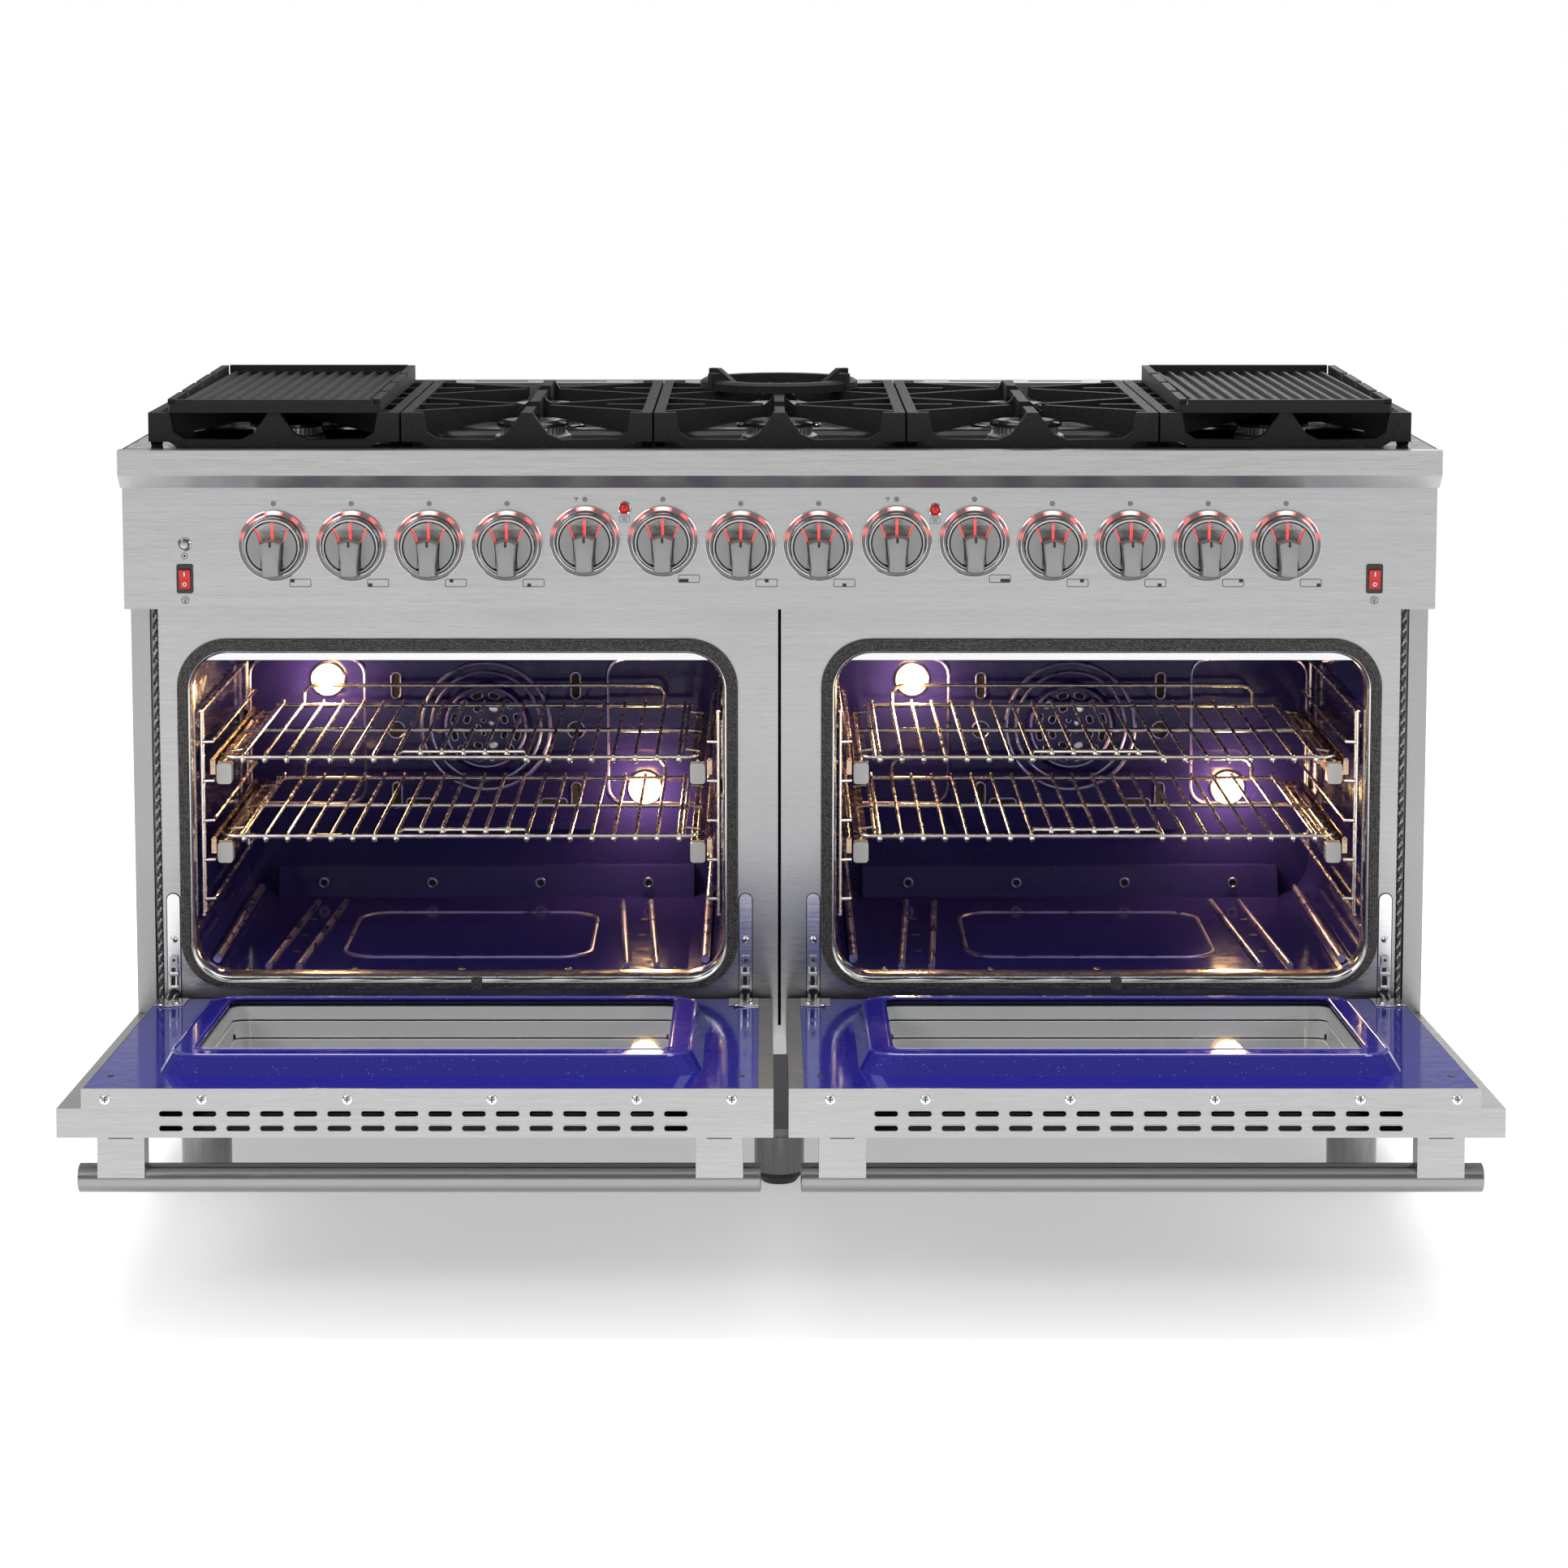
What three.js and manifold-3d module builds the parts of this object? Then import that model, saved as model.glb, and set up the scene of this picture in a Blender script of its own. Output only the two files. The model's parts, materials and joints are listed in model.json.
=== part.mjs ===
// Freestanding gas range, 60 inch class: two ovens side by side under a ten burner cooktop.
// Millimetres, +Z up. The front faces -Y and +X is to the right as the cook sees it.
// The origin is on the floor, under the middle of the front centre leg.
// The oven doors are modelled open, resting on their open stops.

import * as THREE from 'three';
import { mergeVertices } from 'three/addons/utils/BufferGeometryUtils.js';
import Module from 'manifold-3d';

const wasm = await Module();
wasm.setup();

// ---- Driving dimensions ---------------------------------------------------------------

const GAP = 0.3; // clearance between pieces that touch
const SHEET = 2; // folded sheet metal
const HALF_WIDTH = 760; // half the width of the body
const BODY_DEPTH = 620; // from the body's front plane to its back
const LEG_SETBACK = 60; // front legs, behind the body's front plane

const BASE_BOTTOM = 72;
const BASE_TOP = 103;
const BASE_SETBACK = 25;
const FRAME_BOTTOM = 170; // the oven front frame stands above the kick plate
const PANEL_BOTTOM = 709; // the control panel's lower edge
const PANEL_TOP = 852;
const PANEL_PROUD = 46; // control panel face, in front of the body's front plane
const TRIM_PROUD = 77; // cooktop front trim face
const DECK_TOP = 897;
const DECK_THICK = 4;
const REAR_TRIM_TOP = 925;
const REAR_TRIM_DEPTH = 62;

const OVEN_X = 378; // oven centres, either side of the middle
const MOUTH = { width: 628, height: 388, radius: 45, z: 459 };
const CAVITY_DEPTH = 463;
const RACK_LEVELS = { upper: 520, lower: 425 };

const DOOR = { near: 8, far: 760, bottom: -38, top: 492, outer: -19, inner: 33 };
const DOOR_AXIS = { proud: 41, z: 210 }; // hinge axis, in front of the front plane
const DOOR_OPEN_DEG = 87; // the open door's free end stays 3 degrees above level
const WINDOW = { x: 375, z: 235.5, width: 507, height: 293 };

const KNOB_PITCH = 90.05;
const KNOB_COUNT = 14;
const KNOB_Z = 784;
const OVEN_KNOBS = [4, 5, 8, 9]; // knobs that stand a little higher than the others
const OVEN_KNOB_LIFT = 5;

const GRATE_PITCH = 292.5;
const GRATE = { halfWidth: 145, depth: 486, height: 39.7, front: -36 };
const BURNER_DEPTHS = [86, 328]; // front and rear burner centres behind the front plane
const BURNER_RADIUS = 46;

// ---- Materials ------------------------------------------------------------------------

const FINISHES = {
  stainless: { color: 0xbfc0c2, roughness: 0.34, metalness: 1.0 },
  darkSteel: { color: 0x2c2c2e, roughness: 0.6, metalness: 0.6 },
  blueEnamel: { color: 0x2a2a86, roughness: 0.16, metalness: 0.0 },
  blackEnamel: { color: 0x0c0c0d, roughness: 0.14, metalness: 0.0 },
  castIron: { color: 0x1b1b1c, roughness: 0.78, metalness: 0.1 },
  zinc: { color: 0x9a9894, roughness: 0.3, metalness: 1.0 },
  chrome: { color: 0xd9d9da, roughness: 0.1, metalness: 1.0 },
  braid: { color: 0x2a2725, roughness: 0.95, metalness: 0.0 },
  glass: { color: 0x20262a, roughness: 0.04, metalness: 0.0, transparent: true, opacity: 0.4 },
  redPlastic: { color: 0xc3221c, roughness: 0.3, metalness: 0.0 },
};

// ---- Solids ---------------------------------------------------------------------------

function toSolid(geometry) {
  const bare = geometry.clone();
  bare.deleteAttribute('normal');
  bare.deleteAttribute('uv');
  const merged = mergeVertices(bare, 1e-4);
  return new wasm.Manifold(new wasm.Mesh({
    numProp: 3,
    vertProperties: new Float32Array(merged.attributes.position.array),
    triVerts: new Uint32Array(merged.index.array),
  }));
}

function toGeometry(solid) {
  const mesh = solid.getMesh();
  const geometry = new THREE.BufferGeometry();
  geometry.setAttribute('position', new THREE.BufferAttribute(mesh.vertProperties, 3));
  geometry.setIndex(new THREE.BufferAttribute(mesh.triVerts, 1));
  geometry.computeVertexNormals();
  return geometry;
}

function fuse(geometries) {
  return geometries.map(toSolid).reduce((whole, piece) => whole.add(piece));
}

function cut(solid, geometries) {
  return geometries.map(toSolid).reduce((rest, tool) => rest.subtract(tool), solid);
}

// A box between two values on each axis, given in either order.
function box([x0, x1], [y0, y1], [z0, z1]) {
  const geometry = new THREE.BoxGeometry(Math.abs(x1 - x0), Math.abs(y1 - y0), Math.abs(z1 - z0));
  return geometry.translate((x0 + x1) / 2, (y0 + y1) / 2, (z0 + z1) / 2);
}

function extrude(points, depth, holes = []) {
  const shape = new THREE.Shape(points.map(([u, v]) => new THREE.Vector2(u, v)));
  shape.holes = holes.map((hole) => new THREE.Path(hole.map(([u, v]) => new THREE.Vector2(u, v))));
  return new THREE.ExtrudeGeometry(shape, { depth, bevelEnabled: false });
}

// Prisms: an outline of [y, z], [x, z] or [x, y] points, extruded along the third axis.
function prismX(points, x0, x1) {
  const turn = new THREE.Matrix4().makeBasis(
    new THREE.Vector3(0, 1, 0),
    new THREE.Vector3(0, 0, 1),
    new THREE.Vector3(1, 0, 0),
  );
  return extrude(points, x1 - x0).applyMatrix4(turn).translate(x0, 0, 0);
}

function prismY(points, y0, y1, holes = []) {
  return extrude(points, y1 - y0, holes).rotateX(Math.PI / 2).translate(0, y1, 0);
}

function prismZ(points, z0, z1, holes = []) {
  return extrude(points, z1 - z0, holes).translate(0, 0, z0);
}

function roundedRect(u, v, width, height, radius, steps = 4) {
  const points = [];
  const corners = [[1, 1, 0], [-1, 1, 90], [-1, -1, 180], [1, -1, 270]];
  for (const [signU, signV, start] of corners) {
    const centreU = u + signU * (width / 2 - radius);
    const centreV = v + signV * (height / 2 - radius);
    for (let step = 0; step <= steps; step += 1) {
      const angle = THREE.MathUtils.degToRad(start + (90 * step) / steps);
      points.push([centreU + radius * Math.cos(angle), centreV + radius * Math.sin(angle)]);
    }
  }
  return points;
}

// Narrows a Y prism towards its end at y = yEnd, about the point (x, z).
function taper(geometry, yEnd, [x, z], scaleX, scaleZ) {
  const place = geometry.attributes.position;
  for (let i = 0; i < place.count; i += 1) {
    if (Math.abs(place.getY(i) - yEnd) < 0.01) {
      place.setX(i, x + (place.getX(i) - x) * scaleX);
      place.setZ(i, z + (place.getZ(i) - z) * scaleZ);
    }
  }
  return geometry;
}

// A turned solid about Z from [radius, height] points, the outside listed upwards.
function turned(profile, segments) {
  const points = profile.map(([radius, height]) => new THREE.Vector2(radius, height));
  return new THREE.LatheGeometry(points, segments).rotateX(Math.PI / 2);
}

// The same, about an axis that points forwards (-Y), heights counted forwards.
function turnedForward(profile, segments) {
  return turned(profile, segments).rotateX(Math.PI / 2);
}

function cylinder(radius, z0, z1, segments) {
  return turned([[0, z0], [radius, z0], [radius, z1], [0, z1]], segments);
}

// A straight bar on edge between two [x, y] points. Its lower edge rises to the tip.
function finger([x0, y0], [x1, y1], rootBottom, tipBottom, top, thickness) {
  const length = Math.hypot(x1 - x0, y1 - y0);
  const side = [[0, rootBottom], [length, tipBottom], [length, top], [0, top]];
  return prismY(side, -thickness / 2, thickness / 2)
    .rotateZ(Math.atan2(y1 - y0, x1 - x0))
    .translate(x0, y0, 0);
}

// ---- Scene ----------------------------------------------------------------------------

const group = new THREE.Group();
const body = new THREE.Group(); // y = 0 here is the body's front plane
body.position.set(0, -LEG_SETBACK, 0);
group.add(body);

function addPart(name, shape, finish, place = [0, 0, 0], parent = body) {
  const geometry = shape.isBufferGeometry ? shape : toGeometry(shape);
  const mesh = new THREE.Mesh(geometry, new THREE.MeshStandardMaterial(FINISHES[finish]));
  mesh.name = name;
  mesh.position.set(...place);
  parent.add(mesh);
  return mesh;
}

const SIDES = { left: -1, right: 1 };

// ---- Base, legs and casing ------------------------------------------------------------

function baseFrame() {
  const halfWidth = HALF_WIDTH - SHEET - GAP;
  const back = BODY_DEPTH - SHEET - GAP;
  const kickHalfWidth = HALF_WIDTH - 22 - GAP;
  const tray = fuse([
    box([-halfWidth, halfWidth], [BASE_SETBACK, back], [BASE_BOTTOM, BASE_TOP]),
    box([-kickHalfWidth, kickHalfWidth], [0, BASE_SETBACK + SHEET], [BASE_TOP - SHEET, BASE_TOP]),
    box([-kickHalfWidth, kickHalfWidth], [0, SHEET], [BASE_TOP - SHEET, FRAME_BOTTOM - GAP]),
  ]);
  const hollow = box(
    [-halfWidth + SHEET, halfWidth - SHEET],
    [BASE_SETBACK + SHEET, back - SHEET],
    [BASE_BOTTOM - 1, BASE_TOP - SHEET],
  );
  return cut(tray, [hollow]);
}

function leg() {
  const footRadius = 22;
  const footHeight = 8;
  const sleeveRadius = 30;
  const top = BASE_TOP - SHEET - GAP;
  const profile = [
    [0, 0],
    [footRadius, 0],
    [footRadius, footHeight],
    [sleeveRadius, footHeight],
    [sleeveRadius, top],
    [0, top],
  ];
  return turned(profile, 16);
}

function sidePanel(side) {
  const flange = 22;
  const plan = [
    [HALF_WIDTH - flange, 0],
    [HALF_WIDTH, 0],
    [HALF_WIDTH, BODY_DEPTH],
    [HALF_WIDTH - SHEET, BODY_DEPTH],
    [HALF_WIDTH - SHEET, SHEET],
    [HALF_WIDTH - flange, SHEET],
  ];
  const outline = plan.map(([x, y]) => [side * x, y]);
  return prismZ(outline, BASE_BOTTOM, DECK_TOP - DECK_THICK - GAP);
}

function backPanel() {
  const front = BODY_DEPTH - REAR_TRIM_DEPTH;
  const foot = DECK_TOP - DECK_THICK;
  const halfWidth = HALF_WIDTH - SHEET - GAP;
  const slotCount = 14;
  const slotPitch = 104;
  const sheet = fuse([
    box([-halfWidth, halfWidth], [BODY_DEPTH - SHEET, BODY_DEPTH], [BASE_BOTTOM, REAR_TRIM_TOP]),
    box([-HALF_WIDTH, HALF_WIDTH], [front, BODY_DEPTH], [foot, REAR_TRIM_TOP]),
  ]);
  const tools = [
    box([-halfWidth, halfWidth], [front + SHEET, BODY_DEPTH - SHEET], [foot - 1, REAR_TRIM_TOP - SHEET]),
  ];
  for (let i = 0; i < slotCount; i += 1) {
    const x = (i - (slotCount - 1) / 2) * slotPitch;
    const y = front + REAR_TRIM_DEPTH / 2;
    tools.push(box([x - 35, x + 35], [y - 7, y + 7], [REAR_TRIM_TOP - 5, REAR_TRIM_TOP + 5]));
  }
  return cut(sheet, tools);
}

// The stainless front around both oven mouths, with its folded outer edges.
function ovenFrontFrame() {
  const halfWidth = 728;
  const returnDepth = 12;
  const flangeEnd = HALF_WIDTH - SHEET - GAP;
  const top = PANEL_BOTTOM;
  const pieces = [box([-halfWidth, halfWidth], [0, SHEET], [FRAME_BOTTOM, top])];
  const tools = [box([-1.8, 1.8], [-1, SHEET + 1], [205, top + 1])];
  for (const side of Object.values(SIDES)) {
    const edge = side * (halfWidth - SHEET);
    pieces.push(box([edge, side * halfWidth], [0, returnDepth], [FRAME_BOTTOM, top]));
    pieces.push(box([edge, side * flangeEnd], [returnDepth - SHEET, returnDepth], [FRAME_BOTTOM, top]));
    const mouth = roundedRect(side * OVEN_X, MOUTH.z, MOUTH.width, MOUTH.height, MOUTH.radius);
    tools.push(prismY(mouth, -1, SHEET + 1));
    for (const rel of [-338, 338]) {
      const x = side * OVEN_X + rel;
      tools.push(box([x - 6, x + 6], [-1, SHEET + 1], [228, 292])); // hinge arm slot
    }
  }
  return cut(fuse(pieces), tools);
}

// ---- Ovens ----------------------------------------------------------------------------

function ovenLiner() {
  const { width, height, radius, z } = MOUTH;
  const front = SHEET + GAP;
  const back = front + CAVITY_DEPTH;
  const inside = roundedRect(0, z, width - 2 * SHEET, height - 2 * SHEET, radius - SHEET);
  const shell = cut(
    toSolid(prismY(roundedRect(0, z, width, height, radius), front, back + SHEET)),
    [prismY(inside, front - 1, back)],
  );
  const floor = z - height / 2;
  const ceiling = z + height / 2;
  const embossHalfWidth = 155;
  const embossBottom = 352;
  const emboss = roundedRect(
    0, (embossBottom + ceiling) / 2, 2 * embossHalfWidth, ceiling - embossBottom, 20, 2,
  );
  const riser = [
    [back - 30, floor + 1],
    [back - 18, 305],
    [back + 1, 305],
    [back + 1, floor + 1],
  ];
  const riserHalfWidth = width / 2 - radius;
  return shell
    .add(toSolid(prismY(emboss, back - 10, back + 1)))
    .add(toSolid(prismX(riser, -riserHalfWidth, riserHalfWidth)))
    .add(toSolid(turnedForward([[0, -1], [60, -1], [54, 8], [0, 8]], 20).translate(0, back - 10, 488)));
}

function doorGasket() {
  const strand = 15;
  const thick = 7;
  const inside = roundedRect(0, MOUTH.z, MOUTH.width + 2, MOUTH.height + 2, MOUTH.radius + 1);
  const outside = roundedRect(
    0, MOUTH.z, MOUTH.width + 2 * strand, MOUTH.height + 2 * strand, MOUTH.radius + strand,
  );
  return prismY(outside, -thick, -GAP, [inside]);
}

// A sliding rack: a wire grid with the moving members of its two glides below its sides.
function ovenRack() {
  const wirePitch = 25.85;
  const wireCount = 21;
  const wire = 5;
  const depth = 395;
  const halfWidth = 290;
  const glideInner = 272;
  const gridHalfWidth = (wireCount - 1) / 2 * wirePitch;
  const grid = fuse([
    box([-halfWidth, halfWidth], [0, depth], [-wire / 2, wire / 2]),
    box([-halfWidth, -glideInner], [0, depth], [-24, 0]),
    box([glideInner, halfWidth], [0, depth], [-24, 0]),
  ]);
  const tools = [];
  for (let i = 0; i < wireCount - 1; i += 1) {
    const x = -gridHalfWidth + i * wirePitch;
    tools.push(box([x + wire / 2, x + wirePitch - wire / 2], [wire, depth - wire], [-wire, wire]));
  }
  return cut(grid, tools);
}

// ---- Doors, in a frame on the hinge axis, drawn as if closed --------------------------

function doorShell(side) {
  const { near, far, bottom, top, outer, inner } = DOOR;
  const earWidth = 26; // the outer edge is a lower step, clear of the side panel's flange
  const earInner = 12;
  const flange = 16;
  const plan = [
    [near, outer],
    [far, outer],
    [far, earInner],
    [far - earWidth, earInner],
    [far - earWidth, inner],
    [near, inner],
  ];
  const hollow = [
    [near + SHEET, outer + SHEET],
    [far - SHEET, outer + SHEET],
    [far - SHEET, earInner - SHEET],
    [far - earWidth - SHEET, earInner - SHEET],
    [far - earWidth - SHEET, inner + 5],
    [near + flange, inner + 5],
    [near + flange, inner - SHEET],
    [near + SHEET, inner - SHEET],
  ];
  const flip = (points) => points.map(([x, y]) => [side * x, y]);
  // The lower inner edge is cut back, so that it clears the oven front as the door turns.
  const lowerEdge = [[inner + 1, bottom + 17], [inner + 1, bottom - 1], [12, bottom - 1]];
  const tools = [
    prismZ(flip(hollow), bottom + SHEET, top - SHEET),
    prismX(lowerEdge, Math.min(side * near, side * far) - 1, Math.max(side * near, side * far) + 1),
    prismY(roundedRect(side * WINDOW.x, WINDOW.z, WINDOW.width, WINDOW.height, 12, 2), outer - 1, outer + 5),
  ];
  return cut(toSolid(prismZ(flip(plan), bottom, top)), [...tools, ...ventSlots(side)]);
}

// Two rows of cooling slots through the door's top edge.
function ventSlots(side) {
  const count = 16;
  const pitch = 35.3;
  const length = 25;
  const width = 6;
  const slots = [];
  for (const y of [-9, 6.4]) {
    for (let i = 0; i < count; i += 1) {
      const x = side * (WINDOW.x + (i - (count - 1) / 2) * pitch);
      const slot = box([-length / 2, length / 2], [-width / 2, width / 2], [-5, 5]);
      slots.push(slot.translate(x, y, DOOR.top));
    }
  }
  return slots;
}

// The enamelled inner panel, embossed so that it enters the oven mouth when closed.
function doorLiner(side) {
  const face = DOOR.inner - GAP;
  const rise = 21;
  const centre = [side * WINDOW.x, 247.5];
  const panel = box(
    [side * (DOOR.near + 16 + GAP), side * (DOOR.far - 28 - GAP)],
    [face - SHEET, face],
    [DOOR.bottom + 19, DOOR.top - SHEET - GAP],
  );
  const outline = roundedRect(centre[0], centre[1], 584, 366, 38);
  const inset = roundedRect(centre[0], centre[1], 580, 362, 36);
  const narrowed = (points, y0, y1) => taper(prismY(points, y0, y1), y1, centre, 0.955, 0.93);
  const emboss = narrowed(outline, face - SHEET, face + rise);
  const inside = narrowed(inset, face - SHEET - 1, face + rise - SHEET);
  const sight = roundedRect(side * WINDOW.x, WINDOW.z, WINDOW.width, WINDOW.height, 12, 2);
  return cut(fuse([panel, emboss]), [inside, prismY(sight, face, face + rise + 5)]);
}

// Inner and outer panes on two side spacers, open at both ends for the cooling air.
function doorWindow(side) {
  const pane = 4;
  const lap = 4;
  const outer = DOOR.outer + SHEET + GAP;
  const inner = DOOR.inner - GAP + 21 - SHEET - GAP;
  const halfWidth = WINDOW.width / 2 + lap;
  const halfHeight = WINDOW.height / 2 + lap;
  const x = side * WINDOW.x;
  const low = WINDOW.z - halfHeight;
  const high = WINDOW.z + halfHeight;
  const block = box([x - halfWidth, x + halfWidth], [outer, inner], [low, high]);
  const inside = halfWidth - 5;
  const passage = box([x - inside, x + inside], [outer + pane, inner - pane], [low - 1, high + 1]);
  return cut(toSolid(block), [passage]);
}

function doorHandle(side) {
  const barRadius = 15.5;
  const barFromDoor = 52;
  const z = DOOR.top - 43;
  const y = DOOR.outer - barFromDoor;
  const bar = cylinder(barRadius, 21, 744, 20).rotateY(side * Math.PI / 2).translate(0, y, z);
  const pieces = [bar];
  for (const x of [40, 672]) {
    pieces.push(box([side * x, side * (x + 50)], [y + 4, DOOR.outer - GAP], [z - 12, z + 17]));
  }
  return fuse(pieces);
}

function addDoor(sideName, side) {
  const door = new THREE.Group();
  door.position.set(0, -DOOR_AXIS.proud, DOOR_AXIS.z);
  door.rotation.x = THREE.MathUtils.degToRad(DOOR_OPEN_DEG);
  body.add(door);
  addPart(`door_shell_${sideName}`, doorShell(side), 'stainless', [0, 0, 0], door);
  addPart(`door_liner_${sideName}`, doorLiner(side), 'blueEnamel', [0, 0, 0], door);
  addPart(`door_window_${sideName}`, doorWindow(side), 'glass', [0, 0, 0], door);
  addPart(`door_handle_${sideName}`, doorHandle(side), 'stainless', [0, 0, 0], door);
}

// ---- Controls -------------------------------------------------------------------------

const ROCKER = { x: 689, z: 745, halfHeight: 11, halfWidth: 6.5 };
const BUTTON = { x: -689, z: 785, radius: 5.5 };
const STEM_RADIUS = 5;
const STEM_LENGTH = 17.7;

function knobPlace(index) {
  const x = (index - (KNOB_COUNT - 1) / 2) * KNOB_PITCH;
  const lift = OVEN_KNOBS.includes(index) ? OVEN_KNOB_LIFT : 0;
  return [x, -PANEL_PROUD, KNOB_Z + lift];
}

// The panel housing, with the valve stems that carry the knobs.
function controlPanel() {
  const back = -GAP;
  const housing = cut(
    toSolid(box([-HALF_WIDTH, HALF_WIDTH], [-PANEL_PROUD, back], [PANEL_BOTTOM + GAP, PANEL_TOP])),
    [
      box(
        [-HALF_WIDTH + SHEET, HALF_WIDTH - SHEET],
        [-PANEL_PROUD + SHEET, back + 1],
        [PANEL_BOTTOM + GAP + SHEET, PANEL_TOP - SHEET],
      ),
      turnedForward([[0, -5], [BUTTON.radius + GAP, -5], [BUTTON.radius + GAP, 5], [0, 5]], 12)
        .translate(BUTTON.x, -PANEL_PROUD, BUTTON.z),
    ],
  );
  const bezels = [];
  const rockerHoles = [];
  for (const side of Object.values(SIDES)) {
    const place = [side * ROCKER.x, -PANEL_PROUD, ROCKER.z];
    bezels.push(box([-9, 9], [-1.5, 1], [-16.5, 16.5]).translate(...place));
    rockerHoles.push(box([-7, 7], [-5, 5], [-12.6, 12.6]).translate(...place));
  }
  let panel = cut(housing.add(fuse(bezels)), rockerHoles);
  for (let i = 0; i < KNOB_COUNT; i += 1) {
    const stem = turnedForward([[0, -1], [STEM_RADIUS, -1], [STEM_RADIUS, STEM_LENGTH], [0, STEM_LENGTH]], 8);
    panel = panel.add(toSolid(stem.translate(...knobPlace(i))));
  }
  return panel;
}

function knob() {
  const bore = STEM_RADIUS + GAP + 0.2;
  const boreEnd = STEM_LENGTH + GAP;
  const back = 5;
  const profile = [
    [0, boreEnd],
    [bore, boreEnd],
    [bore, back],
    [34, back],
    [34, 13],
    [30, 22],
    [0, 22],
  ];
  const gripPlan = [[-10, 10], [10, 10], [11.5, -33], [0, -34.5], [-11.5, -33]];
  return fuse([turnedForward(profile, 16), prismY(gripPlan, -38, -21)]);
}

function rocker() {
  const side = [
    [-4.5, ROCKER.halfHeight],
    [-2.5, 0],
    [-4.5, -ROCKER.halfHeight],
    [2.5, -ROCKER.halfHeight],
    [2.5, ROCKER.halfHeight],
  ];
  return prismX(side, -ROCKER.halfWidth, ROCKER.halfWidth);
}

function pushButton() {
  const profile = [
    [0, -6],
    [BUTTON.radius, -6],
    [BUTTON.radius, 4],
    [BUTTON.radius - 1.5, 5.2],
    [0, 5.2],
  ];
  return turnedForward(profile, 12);
}

function frontTrim() {
  const lipEnd = 56; // the cooktop deck starts behind the trim's top lip
  const lower = PANEL_TOP + GAP;
  const under = DECK_TOP - DECK_THICK - GAP;
  const section = [
    [-TRIM_PROUD, DECK_TOP],
    [-TRIM_PROUD, 868],
    [-60, lower],
    [-10, lower],
    [-10, under],
    [-lipEnd, under],
    [-lipEnd, DECK_TOP],
  ];
  const inside = [
    [-TRIM_PROUD + SHEET, DECK_TOP - SHEET],
    [-TRIM_PROUD + SHEET, 868.8],
    [-59.2, lower + SHEET],
    [0, lower + SHEET],
    [0, under + 1],
    [-lipEnd - SHEET, under + 1],
    [-lipEnd - SHEET, DECK_TOP - SHEET],
  ];
  return cut(
    toSolid(prismX(section, -HALF_WIDTH, HALF_WIDTH)),
    [prismX(inside, -HALF_WIDTH + SHEET, HALF_WIDTH - SHEET)],
  );
}

// ---- Cooktop --------------------------------------------------------------------------

function gratePlaces() {
  return [-2, -1, 0, 1, 2].map((step) => step * GRATE_PITCH);
}

function cooktopDeck() {
  const front = -56 + GAP;
  const back = BODY_DEPTH - REAR_TRIM_DEPTH - GAP;
  const plate = box([-HALF_WIDTH, HALF_WIDTH], [front, back], [DECK_TOP - DECK_THICK, DECK_TOP]);
  const holes = [];
  for (const x of gratePlaces()) {
    for (const y of BURNER_DEPTHS) {
      holes.push(cylinder(BURNER_RADIUS + 1, DECK_TOP - 10, DECK_TOP + 10, 14).translate(x, y, 0));
    }
  }
  return cut(toSolid(plate), holes);
}

// A front and a rear burner on the gas tube that feeds them both, under the deck.
function burnerPair() {
  const profile = [
    [0, -36],
    [20, -36],
    [20, -10],
    [BURNER_RADIUS, -10],
    [BURNER_RADIUS, 6],
    [38, 9],
    [38, 14.5],
    [43, 14.5],
    [40, 22],
    [0, 22],
  ];
  const tube = cylinder(7, BURNER_DEPTHS[0] - 70, BURNER_DEPTHS[1], 8).rotateX(-Math.PI / 2);
  const pieces = [tube.translate(0, 0, -28)];
  for (const y of BURNER_DEPTHS) {
    pieces.push(turned(profile, 14).translate(0, y, 0));
  }
  return fuse(pieces);
}

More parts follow.
